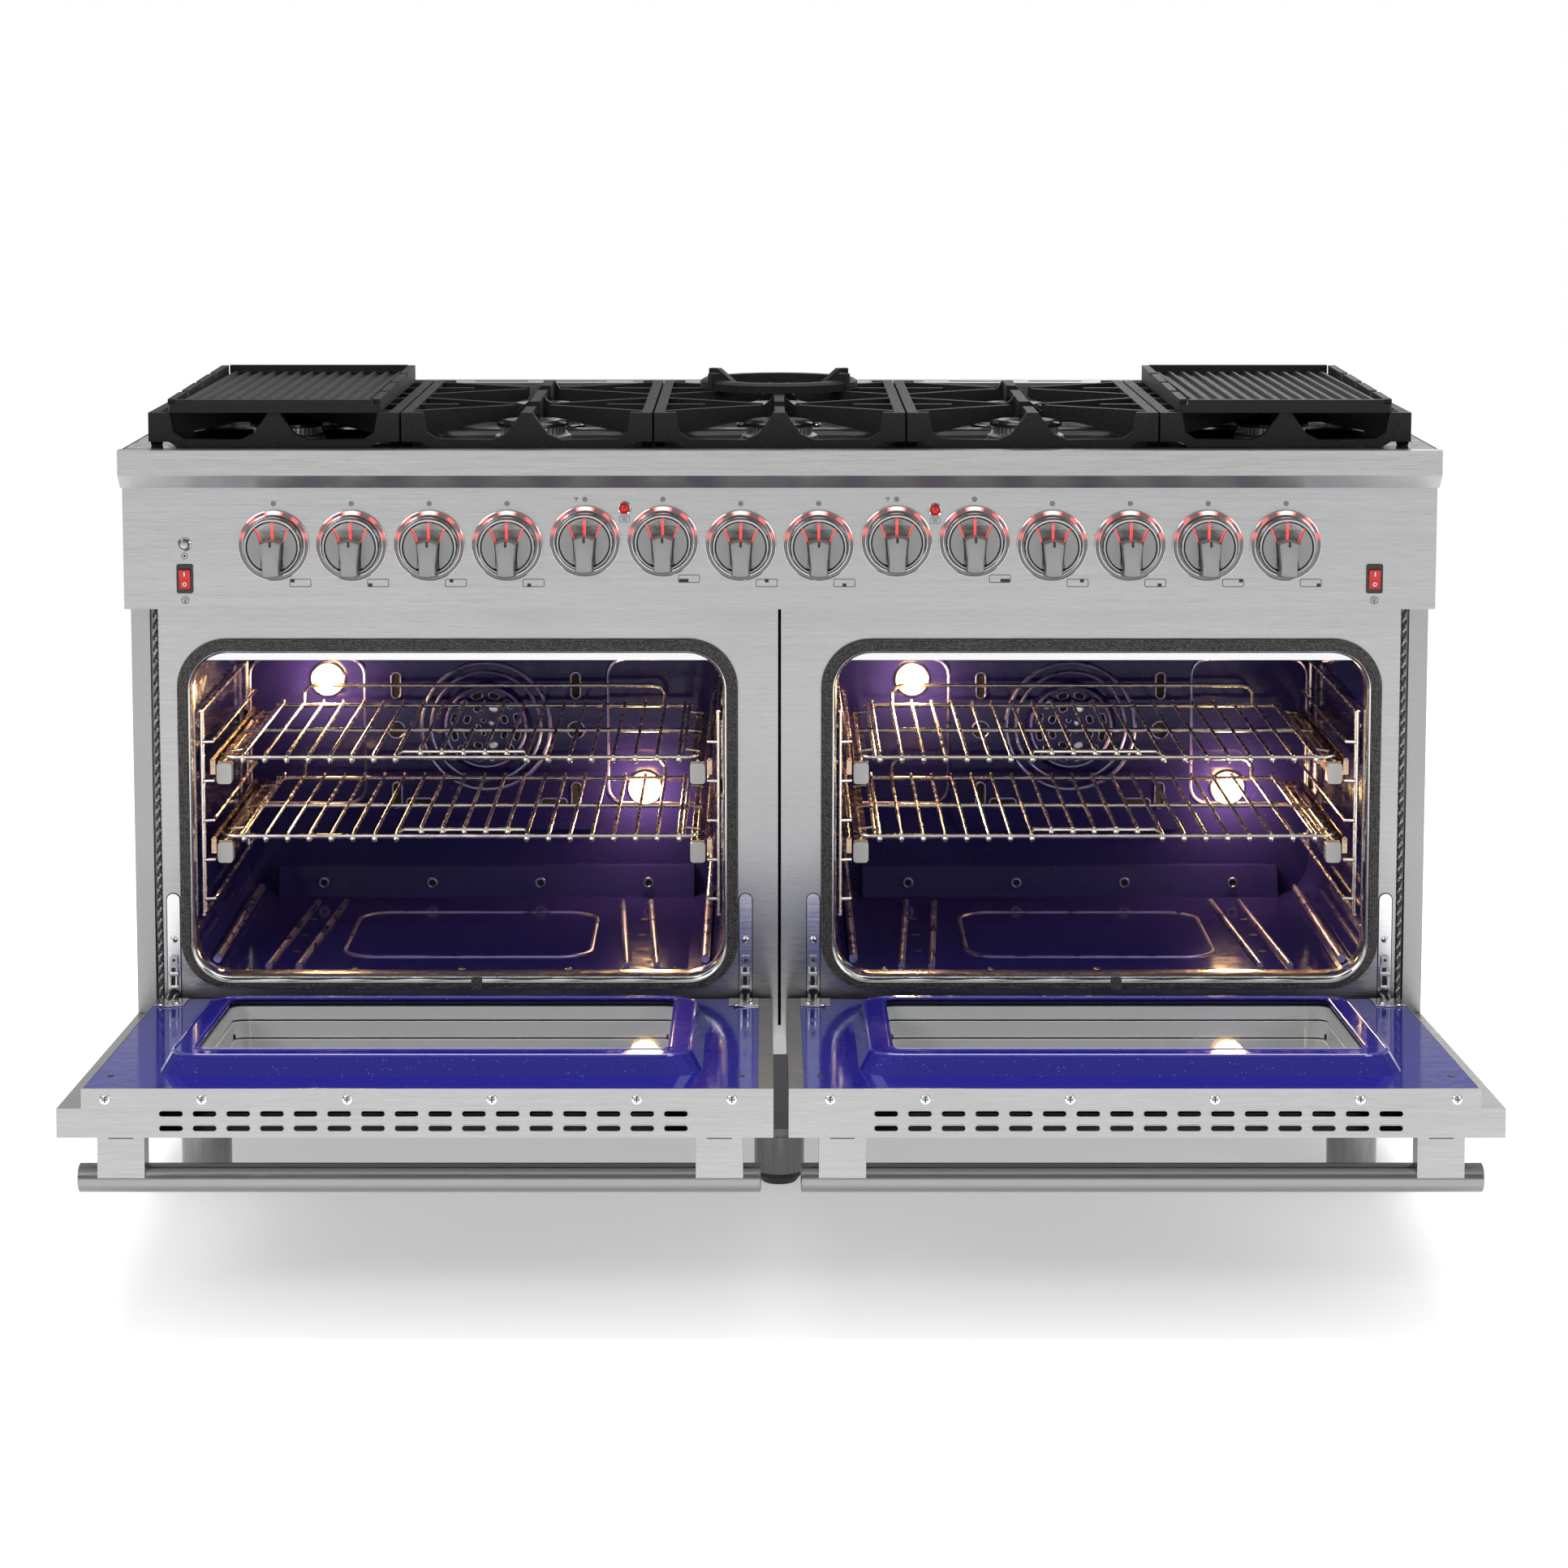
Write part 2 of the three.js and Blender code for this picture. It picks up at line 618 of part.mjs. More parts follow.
// A cast grate over two burners: end walls, side rails, a middle bar and the pan fingers.
function grate() {
  const { halfWidth, depth, height } = GRATE;
  const bar = 12;
  const middle = depth / 2;
  const mirrored = (half) => [...half, ...half.slice().reverse().map(([x, z]) => [-x, z])];
  const endWall = mirrored([
    [112, 0],
    [122, 6],
    [halfWidth, 6],
    [halfWidth, height],
    [120, height],
    [116, 17],
    [104, 9],
    [40, 8],
    [24, 15],
    [9, height - 4],
    [7, height],
  ]);
  const middleBar = mirrored([
    [halfWidth - 1, 8],
    [halfWidth - 1, 20],
    [60, 20],
    [26, 22],
    [9, height - 4],
    [7, height],
  ]);
  const railSpan = (y0, y1) => [[y0 + 30, 0], [y0 + 44, 16], [y1 - 44, 16], [y1 - 30, 0]];
  const rail = [
    [0, 6],
    [14, 6],
    [20, 0],
    ...railSpan(0, middle),
    ...railSpan(middle, depth),
    [depth - 20, 0],
    [depth - 14, 6],
    [depth, 6],
    [depth, height],
    [0, height],
  ];
  const pieces = [
    prismY(endWall, 0, bar),
    prismY(endWall, depth - bar, depth),
    prismY(middleBar, middle - bar / 2, middle + bar / 2),
    prismX(rail, -halfWidth, -halfWidth + bar),
    prismX(rail, halfWidth - bar, halfWidth),
  ];
  const centres = BURNER_DEPTHS.map((y) => y - GRATE.front);
  for (const y of centres) {
    const reach = middle / 2 - 5; // fins start inside the end walls and the middle bar
    for (const toRear of [-1, 1]) {
      const fin = [[0, y + toRear * reach], [0, y + toRear * 34]];
      pieces.push(finger(...fin, 8, 24, height, bar));
      for (const side of Object.values(SIDES)) {
        const root = [side * (halfWidth - 6), y + toRear * (reach - 22)];
        pieces.push(finger(root, [side * 22, y + toRear * 12], 8, 27, height, 9));
      }
    }
    for (const side of Object.values(SIDES)) {
      pieces.push(finger([side * (halfWidth - 6), y], [side * 88, y], 14, 26, height, 10));
    }
  }
  return fuse(pieces);
}

function griddle() {
  const halfWidth = 123;
  const length = 472;
  const frontRim = 15;
  const backRim = 21;
  const ribCount = 14;
  const ribPitch = 16;
  const notches = [0.22, 0.48, 0.74];
  const rimTop = (y) => frontRim + (backRim - frontRim) * (y / length);
  const sideRim = [[0, 1], [0, rimTop(0)]];
  for (const share of notches) {
    const y = share * length;
    sideRim.push([y - 12, rimTop(y)], [y - 7, rimTop(y) - 6], [y + 7, rimTop(y) - 6], [y + 12, rimTop(y)]);
  }
  sideRim.push([length, backRim], [length, 1]);
  const pieces = [
    prismZ(roundedRect(0, length / 2, 2 * halfWidth, length, 10, 2), 0, 9),
    box([-halfWidth + 10, halfWidth - 10], [0, 9], [1, frontRim]),
    box([-halfWidth + 10, halfWidth - 10], [length - 9, length], [1, backRim]),
  ];
  const edge = length - 20;
  const fitted = sideRim.map(([y, z]) => [10 + (y / length) * edge, z]);
  pieces.push(prismX(fitted, -halfWidth, -halfWidth + 9));
  pieces.push(prismX(fitted, halfWidth - 9, halfWidth));
  for (let i = 0; i < ribCount; i += 1) {
    const x = (i - (ribCount - 1) / 2) * ribPitch;
    pieces.push(prismY([[x - 4.5, 8], [x + 4.5, 8], [x + 2, 13.5], [x - 2, 13.5]], 8, length - 8));
  }
  return fuse(pieces);
}

function wokRing() {
  const ring = turned([[79, 0], [98, 0], [98, 9], [94, 12], [79, 12], [79, 0]], 24);
  const pieces = [ring];
  for (const angle of [30, 150, 210, 330]) {
    const tab = prismY([[60, 2], [98.5, 2], [98.5, 21], [86, 21]], -5, 5);
    pieces.push(tab.rotateZ(THREE.MathUtils.degToRad(angle)));
  }
  return fuse(pieces);
}

// ---- Assembly -------------------------------------------------------------------------

addPart('base_frame', baseFrame(), 'darkSteel');
const LEG_PLACES = {
  front_left: [-690, LEG_SETBACK],
  front_centre: [0, LEG_SETBACK],
  front_right: [690, LEG_SETBACK],
  rear_left: [-690, BODY_DEPTH - LEG_SETBACK],
  rear_centre: [0, BODY_DEPTH - LEG_SETBACK],
  rear_right: [690, BODY_DEPTH - LEG_SETBACK],
};
for (const [where, [x, y]] of Object.entries(LEG_PLACES)) {
  addPart(`leg_${where}`, leg(), 'stainless', [x, y, 0]);
}

addPart('back_panel', backPanel(), 'stainless');
addPart('oven_front_frame', ovenFrontFrame(), 'stainless');
addPart('control_panel', controlPanel(), 'stainless');
addPart('front_trim', frontTrim(), 'stainless');
addPart('cooktop_deck', cooktopDeck(), 'blackEnamel');

const RACK_SETBACK = 40;
for (const [sideName, side] of Object.entries(SIDES)) {
  const ovenX = side * OVEN_X;
  addPart(`side_panel_${sideName}`, sidePanel(side), 'stainless');
  addPart(`oven_liner_${sideName}`, ovenLiner(), 'blueEnamel', [ovenX, 0, 0]);
  addPart(`door_gasket_${sideName}`, doorGasket(), 'braid', [ovenX, 0, 0]);
  for (const [level, z] of Object.entries(RACK_LEVELS)) {
    addPart(`rack_${sideName}_${level}`, ovenRack(), 'chrome', [ovenX, RACK_SETBACK, z]);
  }
  addDoor(sideName, side);
  const rockerPlace = [side * ROCKER.x, -PANEL_PROUD, ROCKER.z];
  const rockerMesh = addPart(`rocker_${sideName}`, rocker(), 'redPlastic', rockerPlace);
  rockerMesh.rotation.x = THREE.MathUtils.degToRad(7); // switched off, its lower half pressed in
}

for (let i = 0; i < KNOB_COUNT; i += 1) {
  addPart(`knob_${i + 1}`, knob(), 'zinc', knobPlace(i));
}
addPart('push_button', pushButton(), 'chrome', [BUTTON.x, -PANEL_PROUD, BUTTON.z]);

gratePlaces().forEach((x, i) => {
  addPart(`burner_pair_${i + 1}`, burnerPair(), 'castIron', [x, 0, DECK_TOP]);
  addPart(`grate_${i + 1}`, grate(), 'castIron', [x, GRATE.front, DECK_TOP + GAP]);
});

const GRATE_TOP = DECK_TOP + GAP + GRATE.height;
addPart('griddle_left', griddle(), 'castIron', [-2 * GRATE_PITCH, GRATE.front - 4, GRATE_TOP + GAP]);
addPart('griddle_right', griddle(), 'castIron', [2 * GRATE_PITCH, GRATE.front - 4, GRATE_TOP + GAP]);
addPart('wok_ring', wokRing(), 'castIron', [0, BURNER_DEPTHS[1], GRATE_TOP + GAP]);

export default group;
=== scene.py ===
"""Looks of the double-oven gas range: finishes, round parts, fittings, studio and camera."""

import json
from math import cos, dist, hypot, pi, radians, sin, tau

import bmesh
import bpy
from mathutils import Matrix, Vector


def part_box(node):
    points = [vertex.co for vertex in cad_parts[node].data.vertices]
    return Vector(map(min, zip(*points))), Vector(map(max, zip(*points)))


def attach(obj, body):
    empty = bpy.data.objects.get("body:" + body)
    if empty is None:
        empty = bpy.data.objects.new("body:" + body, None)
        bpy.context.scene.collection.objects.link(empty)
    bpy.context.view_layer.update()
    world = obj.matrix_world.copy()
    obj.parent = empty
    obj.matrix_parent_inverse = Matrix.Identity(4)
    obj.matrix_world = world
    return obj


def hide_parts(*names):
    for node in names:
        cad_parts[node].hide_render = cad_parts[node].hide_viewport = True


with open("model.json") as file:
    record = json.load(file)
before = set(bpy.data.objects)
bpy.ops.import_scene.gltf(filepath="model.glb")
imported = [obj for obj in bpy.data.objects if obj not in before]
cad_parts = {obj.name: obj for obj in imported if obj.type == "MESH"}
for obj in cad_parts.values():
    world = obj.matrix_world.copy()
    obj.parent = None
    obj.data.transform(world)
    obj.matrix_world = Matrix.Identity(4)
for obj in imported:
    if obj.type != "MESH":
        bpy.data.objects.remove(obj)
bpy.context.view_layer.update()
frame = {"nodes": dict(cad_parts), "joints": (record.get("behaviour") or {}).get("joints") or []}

# ---- frames, in millimetres ----

MM = 0.001
joints = {joint["name"]: joint for joint in frame["joints"]}
FRONT_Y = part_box("side_panel_left")[0].y / MM
HINGE_Y, HINGE_Z = [value / MM for value in joints["door_left_close"]["pos_m"][1:]]
DOOR_OPEN = radians(joints["door_left_close"]["range_deg"][1])
LEFT, RIGHT = -1, 1
SIDES = {LEFT: "left", RIGHT: "right"}
OVEN_X = 378
PANEL_Y = -46


def body_frame(x, y, z):
    """Millimetres behind the body's front plane, in the shared frame."""
    return Vector((x, y + FRONT_Y, z)) * MM


def door_frame(x, y, z):
    """Millimetres on an upright door, from its hinge axis, laid open as the doors rest."""
    turn_y = y * cos(DOOR_OPEN) - z * sin(DOOR_OPEN)
    turn_z = y * sin(DOOR_OPEN) + z * cos(DOOR_OPEN)
    return Vector((x, HINGE_Y + turn_y, HINGE_Z + turn_z)) * MM


def own_frame(x, y, z):
    """Millimetres from the piece's own origin."""
    return Vector((x, y, z)) * MM


# ---- outlines ----


def rounded(width, height, radius, centre=(0, 0), steps=6):
    """The outline of a rounded rectangle, anticlockwise from its lower right corner."""
    outline = []
    for corner, (side, up) in enumerate(((1, -1), (1, 1), (-1, 1), (-1, -1))):
        middle_x = centre[0] + side * (width / 2 - radius)
        middle_y = centre[1] + up * (height / 2 - radius)
        for step in range(steps + 1):
            angle = pi / 2 * (corner - 1 + step / steps)
            outline.append((middle_x + radius * cos(angle), middle_y + radius * sin(angle)))
    return outline


def circle(radius, centre=(0, 0), steps=24):
    """The outline of a circle."""
    turns = [tau * step / steps for step in range(steps)]
    return [(centre[0] + radius * cos(t), centre[1] + radius * sin(t)) for t in turns]


def arc(radius, start, end, centre=(0, 0), steps=12):
    """Points on a circle between two angles in degrees."""
    turns = [radians(start + (end - start) * step / steps) for step in range(steps + 1)]
    return [(centre[0] + radius * cos(t), centre[1] + radius * sin(t)) for t in turns]


# ---- meshes ----

FACING = {
    "x": lambda u, v, w: (w, u, v),
    "y": lambda u, v, w: (u, w, v),
    "z": lambda u, v, w: (u, v, w),
}


class Shape:
    """Faces in millimetres, each with the number of its finish."""

    def __init__(self, place=body_frame):
        self.place = place
        self.points = []
        self.faces = []
        self.kinds = []

    def rings(self, rings, kind=0, closed=False, kinds=None):
        """Skins a row of equal rings. Open rows get a cap at each end."""
        start = len(self.points)
        count = len(rings[0])
        self.points += [point for ring in rings for point in ring]
        for i in range(len(rings) if closed else len(rings) - 1):
            near = start + i * count
            far = start + (i + 1) % len(rings) * count
            for j in range(count):
                k = (j + 1) % count
                self.faces.append([near + j, near + k, far + k, far + j])
                self.kinds.append(kinds[i] if kinds else kind)
        if not closed:
            last = start + (len(rings) - 1) * count
            self.faces.append([start + j for j in range(count)])
            self.faces.append([last + j for j in range(count)])
            self.kinds += [kinds[0], kinds[-1]] if kinds else [kind, kind]

    def prism(self, outline, low, high, facing="y", kind=0):
        """A flat outline pushed from low to high along the axis it faces."""
        place = FACING[facing]
        self.rings([[place(u, v, w) for u, v in outline] for w in (low, high)], kind)

    def border(self, outer, inner, low, high, facing="y", kind=0):
        """A flat frame between two outlines with the same number of points."""
        place = FACING[facing]
        loops = ((outer, low), (outer, high), (inner, high), (inner, low))
        self.rings([[place(u, v, w) for u, v in line] for line, w in loops], kind, closed=True)

    def block(self, low, high, kind=0):
        """A box between two corners."""
        outline = [(low[0], low[1]), (high[0], low[1]), (high[0], high[1]), (low[0], high[1])]
        self.prism(outline, low[2], high[2], "z", kind)

    def turned(self, profile, centre, axis="z", kind=0, sides=32, kinds=None, closed=False):
        """Turns (radius, height) pairs about an axis. Axis y counts height towards the front."""
        place = FACING[axis]
        sense = -1 if axis == "y" else 1
        rings = []
        for radius, height in profile:
            loop = [place(u, v, height * sense) for u, v in circle(max(radius, 1e-4), steps=sides)]
            rings.append([tuple(a + b for a, b in zip(centre, point)) for point in loop])
        self.rings(rings, kind, closed, kinds)

    def tube(self, path, radius, kind=0, sides=8, closed=False):
        """A round wire along a path."""
        path = [Vector(point) for point in path]
        normal = None
        rings = []
        for i, point in enumerate(path):
            before = path[i - 1] if closed or i else point
            after = path[(i + 1) % len(path)] if closed or i + 1 < len(path) else point
            along = (after - before).normalized()
            normal = along.orthogonal() if normal is None else normal - along * normal.dot(along)
            normal.normalize()
            across = along.cross(normal)
            ring = []
            for u, v in circle(radius, steps=sides):
                ring.append(tuple(point + normal * u + across * v))
            rings.append(ring)
        self.rings(rings, kind, closed)

    def bead(self, outline, level, radius, kind=0, sides=8, facing="y"):
        """A round wire laid round a flat outline."""
        place = FACING[facing]
        self.tube([place(u, v, level) for u, v in outline], radius, kind, sides, True)

    def screw(self, centre, axis="y", radius=4, kind=0, slot_kind=1, towards=1):
        """A pan head screw with a cross recess. towards is -1 when the head faces the other way."""
        dome = [(radius, 0), (radius, 0.8), (radius * 0.75, 1.9), (radius * 0.35, 2.4), (0, 2.5)]
        self.turned([(r, h * towards) for r, h in dome], centre, axis, kind, sides=16)
        # The cross recess is a block in the slot_kind finish, mostly near-black: painted shade in the
        # recess.
        reach, half = radius * 0.55, radius * 0.12
        for long, short in ((reach, half), (half, reach)):
            outline = [(-long, -short), (long, -short), (long, short), (-long, short)]
            first, second, depth = {"x": (1, 2, 0), "y": (0, 2, 1), "z": (0, 1, 2)}[axis]
            sign = -towards if axis == "y" else towards
            outline = [(u + centre[first], v + centre[second]) for u, v in outline]
            levels = sorted((centre[depth] + sign * 1.6, centre[depth] + sign * 2.65))
            self.prism(outline, levels[0], levels[1], axis, slot_kind)


def placed(name, data, place=(0, 0, 0)):
    """Adds an object to the scene."""
    piece = bpy.data.objects.new(name, data)
    bpy.context.collection.objects.link(piece)
    piece.location = place
    return piece


def build(shape, name, finishes, body, bevel=0, replaced=(), at=(0, 0, 0), smooth=40, turn=0):
    """Makes the mesh object, sets its finishes and lets it ride on its body."""
    mesh = bpy.data.meshes.new(name)
    mesh.from_pydata([shape.place(*point) for point in shape.points], [], shape.faces)
    for finish in finishes:
        mesh.materials.append(finish)
    mesh.polygons.foreach_set("material_index", shape.kinds)
    work = bmesh.new()
    work.from_mesh(mesh)
    bmesh.ops.remove_doubles(work, verts=work.verts, dist=1e-6)
    bmesh.ops.recalc_face_normals(work, faces=work.faces)
    work.to_mesh(mesh)
    work.free()
    mesh.shade_smooth()
    mesh.set_sharp_from_angle(angle=radians(smooth))
    piece = placed(name, mesh, at)
    piece.rotation_euler.x = turn
    if bevel:
        soften(piece, bevel)
    bpy.context.view_layer.update()
    if replaced:
        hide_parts(*replaced)
    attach(piece, body)


def soften(piece, width, segments=2, angle=35):
    """Rounds the sharp edges of a piece by a width in millimetres."""
    edge = piece.modifiers.new("edge", "BEVEL")
    edge.width = width * MM
    edge.segments = segments
    edge.limit_method = "ANGLE"
    edge.angle_limit = radians(angle)
    edge.harden_normals = True


# ---- finishes ----


class Finish:
    """One procedural material and the nodes that vary it."""

    def __init__(self, name, colour, metallic=0, roughness=0.5, **numbers):
        self.material = bpy.data.materials.new(name)
        self.material.use_nodes = True
        self.tree = self.material.node_tree
        self.shader = self.tree.nodes["Principled BSDF"]
        self.colour = colour
        self.shader.inputs["Base Color"].default_value = (*colour, 1)
        self.shader.inputs["Metallic"].default_value = metallic
        self.shader.inputs["Roughness"].default_value = roughness
        for socket, value in numbers.items():
            self.shader.inputs[socket.replace("_", " ")].default_value = value
        self.place = self.tree.nodes.new("ShaderNodeTexCoord").outputs["Object"]

    def node(self, kind, inputs, **settings):
        """Adds a node, and gives its inputs either numbers or links."""
        made = self.tree.nodes.new("ShaderNode" + kind)
        for name, value in settings.items():
            setattr(made, name, value)
        for key, value in inputs.items():
            if isinstance(value, bpy.types.NodeSocket):
                self.tree.links.new(value, made.inputs[key])
            else:
                made.inputs[key].default_value = value
        return made

    def noise(self, scale, detail=3):
        """A noise value that changes once in 1/scale metres. scale is a number, or one for each axis."""
        each = (scale, scale, scale) if isinstance(scale, (int, float)) else scale
        scaled = self.node("VectorMath", {0: self.place, 1: each}, operation="MULTIPLY").outputs[0]
        return self.node("TexNoise", {"Vector": scaled, "Scale": 1, "Detail": detail}).outputs["Fac"]

    def cells(self, scale):
        """The distance to the nearest of many scattered points."""
        return self.node("TexVoronoi", {"Vector": self.place, "Scale": scale}).outputs["Distance"]

    def ranged(self, value, low, high, start=0.3, end=0.7):
        """Carries a value from start..end to low..high."""
        ends = {"From Min": start, "From Max": end, "To Min": low, "To Max": high}
        return self.node("MapRange", {"Value": value, **ends}).outputs["Result"]

    def math(self, operation, first, second=0):
        """One arithmetic step on numbers or sockets."""
        return self.node("Math", {0: first, 1: second}, operation=operation).outputs[0]

    def mixed(self, factor, other):
        """The base colour mixed towards another colour."""
        ends = {6: (*self.colour, 1), 7: (*other, 1)}
        return self.node("Mix", {0: factor, **ends}, data_type="RGBA").outputs[2]

    def feed(self, socket, value):
        """Links a value to a socket of the shader."""
        self.tree.links.new(value, self.shader.inputs[socket])

    def bump(self, height, strength, distance):
        """Raises the surface by a height value."""
        inputs = {"Height": height, "Strength": strength, "Distance": distance}
        self.feed("Normal", self.node("Bump", inputs).outputs["Normal"])


GRAIN_ALONG = {"x": (0, 1, 1), "y": (1, 0, 1), "z": (1, 1, 0)}


def brushed(name, tone, along="x", roughness=0.3, contrast=0.1):
    """Steel rubbed one way: long thin streaks, fine ones over broad ones."""
    made = Finish(name, (tone, tone, tone * 1.005), 1, roughness)
    across = GRAIN_ALONG[along]
    fine = made.noise([1500 if thin else 30 for thin in across], 4)
    broad = made.noise([260 if thin else 5 for thin in across], 2)
    cloud = made.noise(7, 1)
    streaks = made.math("ADD", made.math("MULTIPLY", fine, 0.72), made.math("MULTIPLY", broad, 0.28))
    dark = tone * (1 - contrast)
    made.colour = (dark, dark, dark * 1.005)
    light = min(1, tone * (1 + contrast))
    made.feed("Base Color", made.mixed(made.ranged(streaks, 0, 1), (light, light, light)))
    worn = made.math("ADD", made.ranged(streaks, -0.07, 0.07), made.ranged(cloud, -0.03, 0.03))
    made.feed("Roughness", made.math("ADD", worn, roughness))
    made.bump(fine, 0.12, 0.0002)
    return made.material


def enamel(name, colour, speck, roughness=0.1, shine=0.3):
    """Glass-like enamel with small scattered white specks and a slight ripple."""
    made = Finish(name, colour, 0, roughness, Specular_IOR_Level=shine)
    dots = made.ranged(made.cells(300), speck, 0, 0.05, 0.12)
    patches = made.ranged(made.noise(90, 1), 0, 1, 0.46, 0.62)
    made.feed("Base Color", made.mixed(made.math("MULTIPLY", dots, patches), (0.8, 0.85, 1)))
    ripple = made.noise(60, 2)
    made.feed("Roughness", made.ranged(ripple, roughness * 0.7, roughness * 1.5))
    made.bump(ripple, 0.05, 0.002)
    return made.material


def cast_metal(name, colour, roughness):
    """Sand-cast iron: coarse grains, paler in random patches."""
    made = Finish(name, colour, 0, roughness, IOR=1.22)
    coarse = made.noise(420, 4)
    fine = made.noise(1300, 2)
    pale = tuple(min(1, part * 1.9) for part in colour)
    made.feed("Base Color", made.mixed(made.ranged(coarse, 0, 1), pale))
    made.feed("Roughness", made.ranged(coarse, roughness - 0.12, roughness + 0.12))
    made.bump(made.math("ADD", coarse, made.math("MULTIPLY", fine, 0.4)), 0.55, 0.0012)
    return made.material


def smooth_metal(name, colour, roughness):
    """Plated or polished metal with faint wipe marks."""
    made = Finish(name, colour, 1, roughness)
    wipe = made.noise((45, 45, 160), 3)
    made.feed("Roughness", made.ranged(wipe, roughness * 0.6, roughness * 1.6))
    made.bump(wipe, 0.02, 0.001)
    return made.material


def plain(name, colour, roughness, metallic=0, **numbers):
    """A surface with only a faint mottle."""
    made = Finish(name, colour, metallic, roughness, **numbers)
    mottle = made.noise(300, 2)
    made.feed("Roughness", made.ranged(mottle, roughness * 0.85, min(1, roughness * 1.15)))
    made.bump(mottle, 0.08, 0.0004)
    return made.material


def zinc_sheet(name):
    """Galvanised sheet with large flat crystals."""
    made = Finish(name, (0.27, 0.275, 0.285), 1, 0.42)
    crystals = made.cells(42)
    made.feed("Base Color", made.mixed(made.ranged(crystals, 0, 1, 0.1, 0.7), (0.36, 0.365, 0.375)))
    made.feed("Roughness", made.ranged(crystals, 0.32, 0.55, 0.1, 0.7))
    made.bump(made.noise(120, 3), 0.1, 0.001)
    return made.material


def glowing(name, colour, strength, roughness=0.2):
    """A glowing surface, a little uneven. It serves the indicator lamp, and also the painted red reflection
    on the knobs, which hold no lamp.
    """
    made = Finish(name, colour, 0, roughness, Emission_Color=(*colour, 1))
    flicker = made.noise(220, 2)
    made.feed("Emission Strength", made.ranged(flicker, strength * 0.8, strength * 1.2))
    return made.material


def lamp_glow(name):
    """A lamp behind clear glass: white hot in the middle, orange towards its edge."""
    made = Finish(name, (1, 0.7, 0.4), 0, 0.1, Emission_Color=(1, 0.6, 0.24, 1))
    edge = made.node("LayerWeight", {"Blend": 0.5})
    made.feed("Emission Strength", made.ranged(edge.outputs["Facing"], 16, 1.1, 0.25, 0.75))
    return made.material


def lit_ring(name):
    """The channel round a knob: white at the top, red segments down both sides, dark below."""
    made = Finish(name, (0.16, 0.14, 0.14), 1, 0.22)
    parts = made.node("SeparateXYZ", {0: made.place}).outputs
    turn = made.math("ABSOLUTE", made.math("ARCTAN2", parts["X"], parts["Z"]))
    fade = made.ranged(turn, 1, 0, 1.15, 1.65)
    segments = made.ranged(made.math("SINE", made.math("MULTIPLY", turn, 11)), 0.12, 1, -0.3, 0.9)
    top = made.ranged(turn, 1, 0, 0.03, 0.3)
    made.colour = (1, 0.09, 0.08)
    made.feed("Emission Color", made.mixed(top, (1, 0.85, 0.8)))
    red = made.math("MULTIPLY", made.math("MULTIPLY", fade, segments), 1.15)
    made.feed("Emission Strength", made.math("ADD", red, made.math("MULTIPLY", top, 1.6)))
    return made.material


def twisted(name, colour, pale, pitch):
    """Spun thread: slanting bands along a strand."""
    made = Finish(name, colour, 0, 0.75)
    threads = made.noise((pitch, pitch, pitch * 1.7), 3)
    made.feed("Base Color", made.mixed(made.ranged(threads, 0, 1, 0.42, 0.62), pale))
    made.bump(threads, 0.6, 0.001)
    return made.material


STEEL_X = brushed("steel_grain_x", 0.41, "x", 0.3, 0.14)
STEEL_Y = brushed("steel_grain_y", 0.34, "y", 0.33)
STEEL_Z = brushed("steel_grain_z", 0.2, "z", 0.28, 0.2)
BRIGHT_STEEL = brushed("bright_steel", 0.74, "x", 0.2, 0.05)
# A lighter copy of the front steel for the trim's underside: painted sheen.
TRIM_UNDER_PAINTED_SHEEN = brushed("trim_underside_painted_sheen", 0.5, "x", 0.34, 0.05)
SATIN = brushed("satin_steel", 0.25, "z", 0.34, 0.06)
DARK_STEEL = plain("dark_sheet", (0.09, 0.09, 0.095), 0.45, 0.8)
BLUE = enamel("blue_enamel", (0.014, 0.012, 0.19), 0.8, 0.08, 0.2)
ROLLED_BLUE = enamel("rolled_enamel", (0.022, 0.019, 0.25), 0.3, 0.06, 0.9)
CAVITY_BLUE = enamel("cavity_enamel", (0.015, 0.0115, 0.105), 0.3, 0.1, 0.2)
# A pale metallic copy of the cavity enamel for the pressed rings, beads and ridges: painted highlight along
# the pressed lines.
PRESSED_EDGE_SHEEN = smooth_metal("pressed_edge_painted_sheen", (0.3, 0.27, 0.5), 0.34)
BLACK_ENAMEL = enamel("black_enamel", (0.012, 0.012, 0.013), 0, 0.16)
IRON = cast_metal("cast_iron", (0.009, 0.009, 0.0095), 0.5)
GRIDDLE_IRON = cast_metal("griddle_iron", (0.008, 0.008, 0.0085), 0.46)
CHROME = smooth_metal("chrome", (0.66, 0.66, 0.67), 0.08)
POLISHED = smooth_metal("polished_steel", (0.4, 0.4, 0.4), 0.13)
# Plated rack wire; its golden tint is painted warm light from the oven lamps.
RACK_WIRE_WARM_CAST = smooth_metal("rack_wire_painted_warm_cast", (0.9, 0.81, 0.7), 0.22)
HANDLE_STEEL = brushed("handle_steel", 0.27, "x", 0.16, 0.05)
# Knob dish metal; the faint pink in its colour is a painted reflection of the red ring light.
KNOB_DISH = smooth_metal("knob_dish", (0.44, 0.42, 0.42), 0.24)
BRONZE = smooth_metal("warm_slide", (0.5, 0.36, 0.24), 0.2)
ZINC = zinc_sheet("zinc_sheet")
ZINC_ARM = smooth_metal("zinc_arm", (0.5, 0.51, 0.52), 0.25)
BURNER = smooth_metal("burner_alloy", (0.6, 0.6, 0.6), 0.35)
PACK_GREY = plain("window_sheet", (0.88, 0.9, 0.89), 0.4, 0.1)
# Near-black painted shade: openings, gaps between parts and the small screws in the door window.
PAINTED_SHADE = plain("painted_shade_black", (0.006, 0.006, 0.007), 0.8)
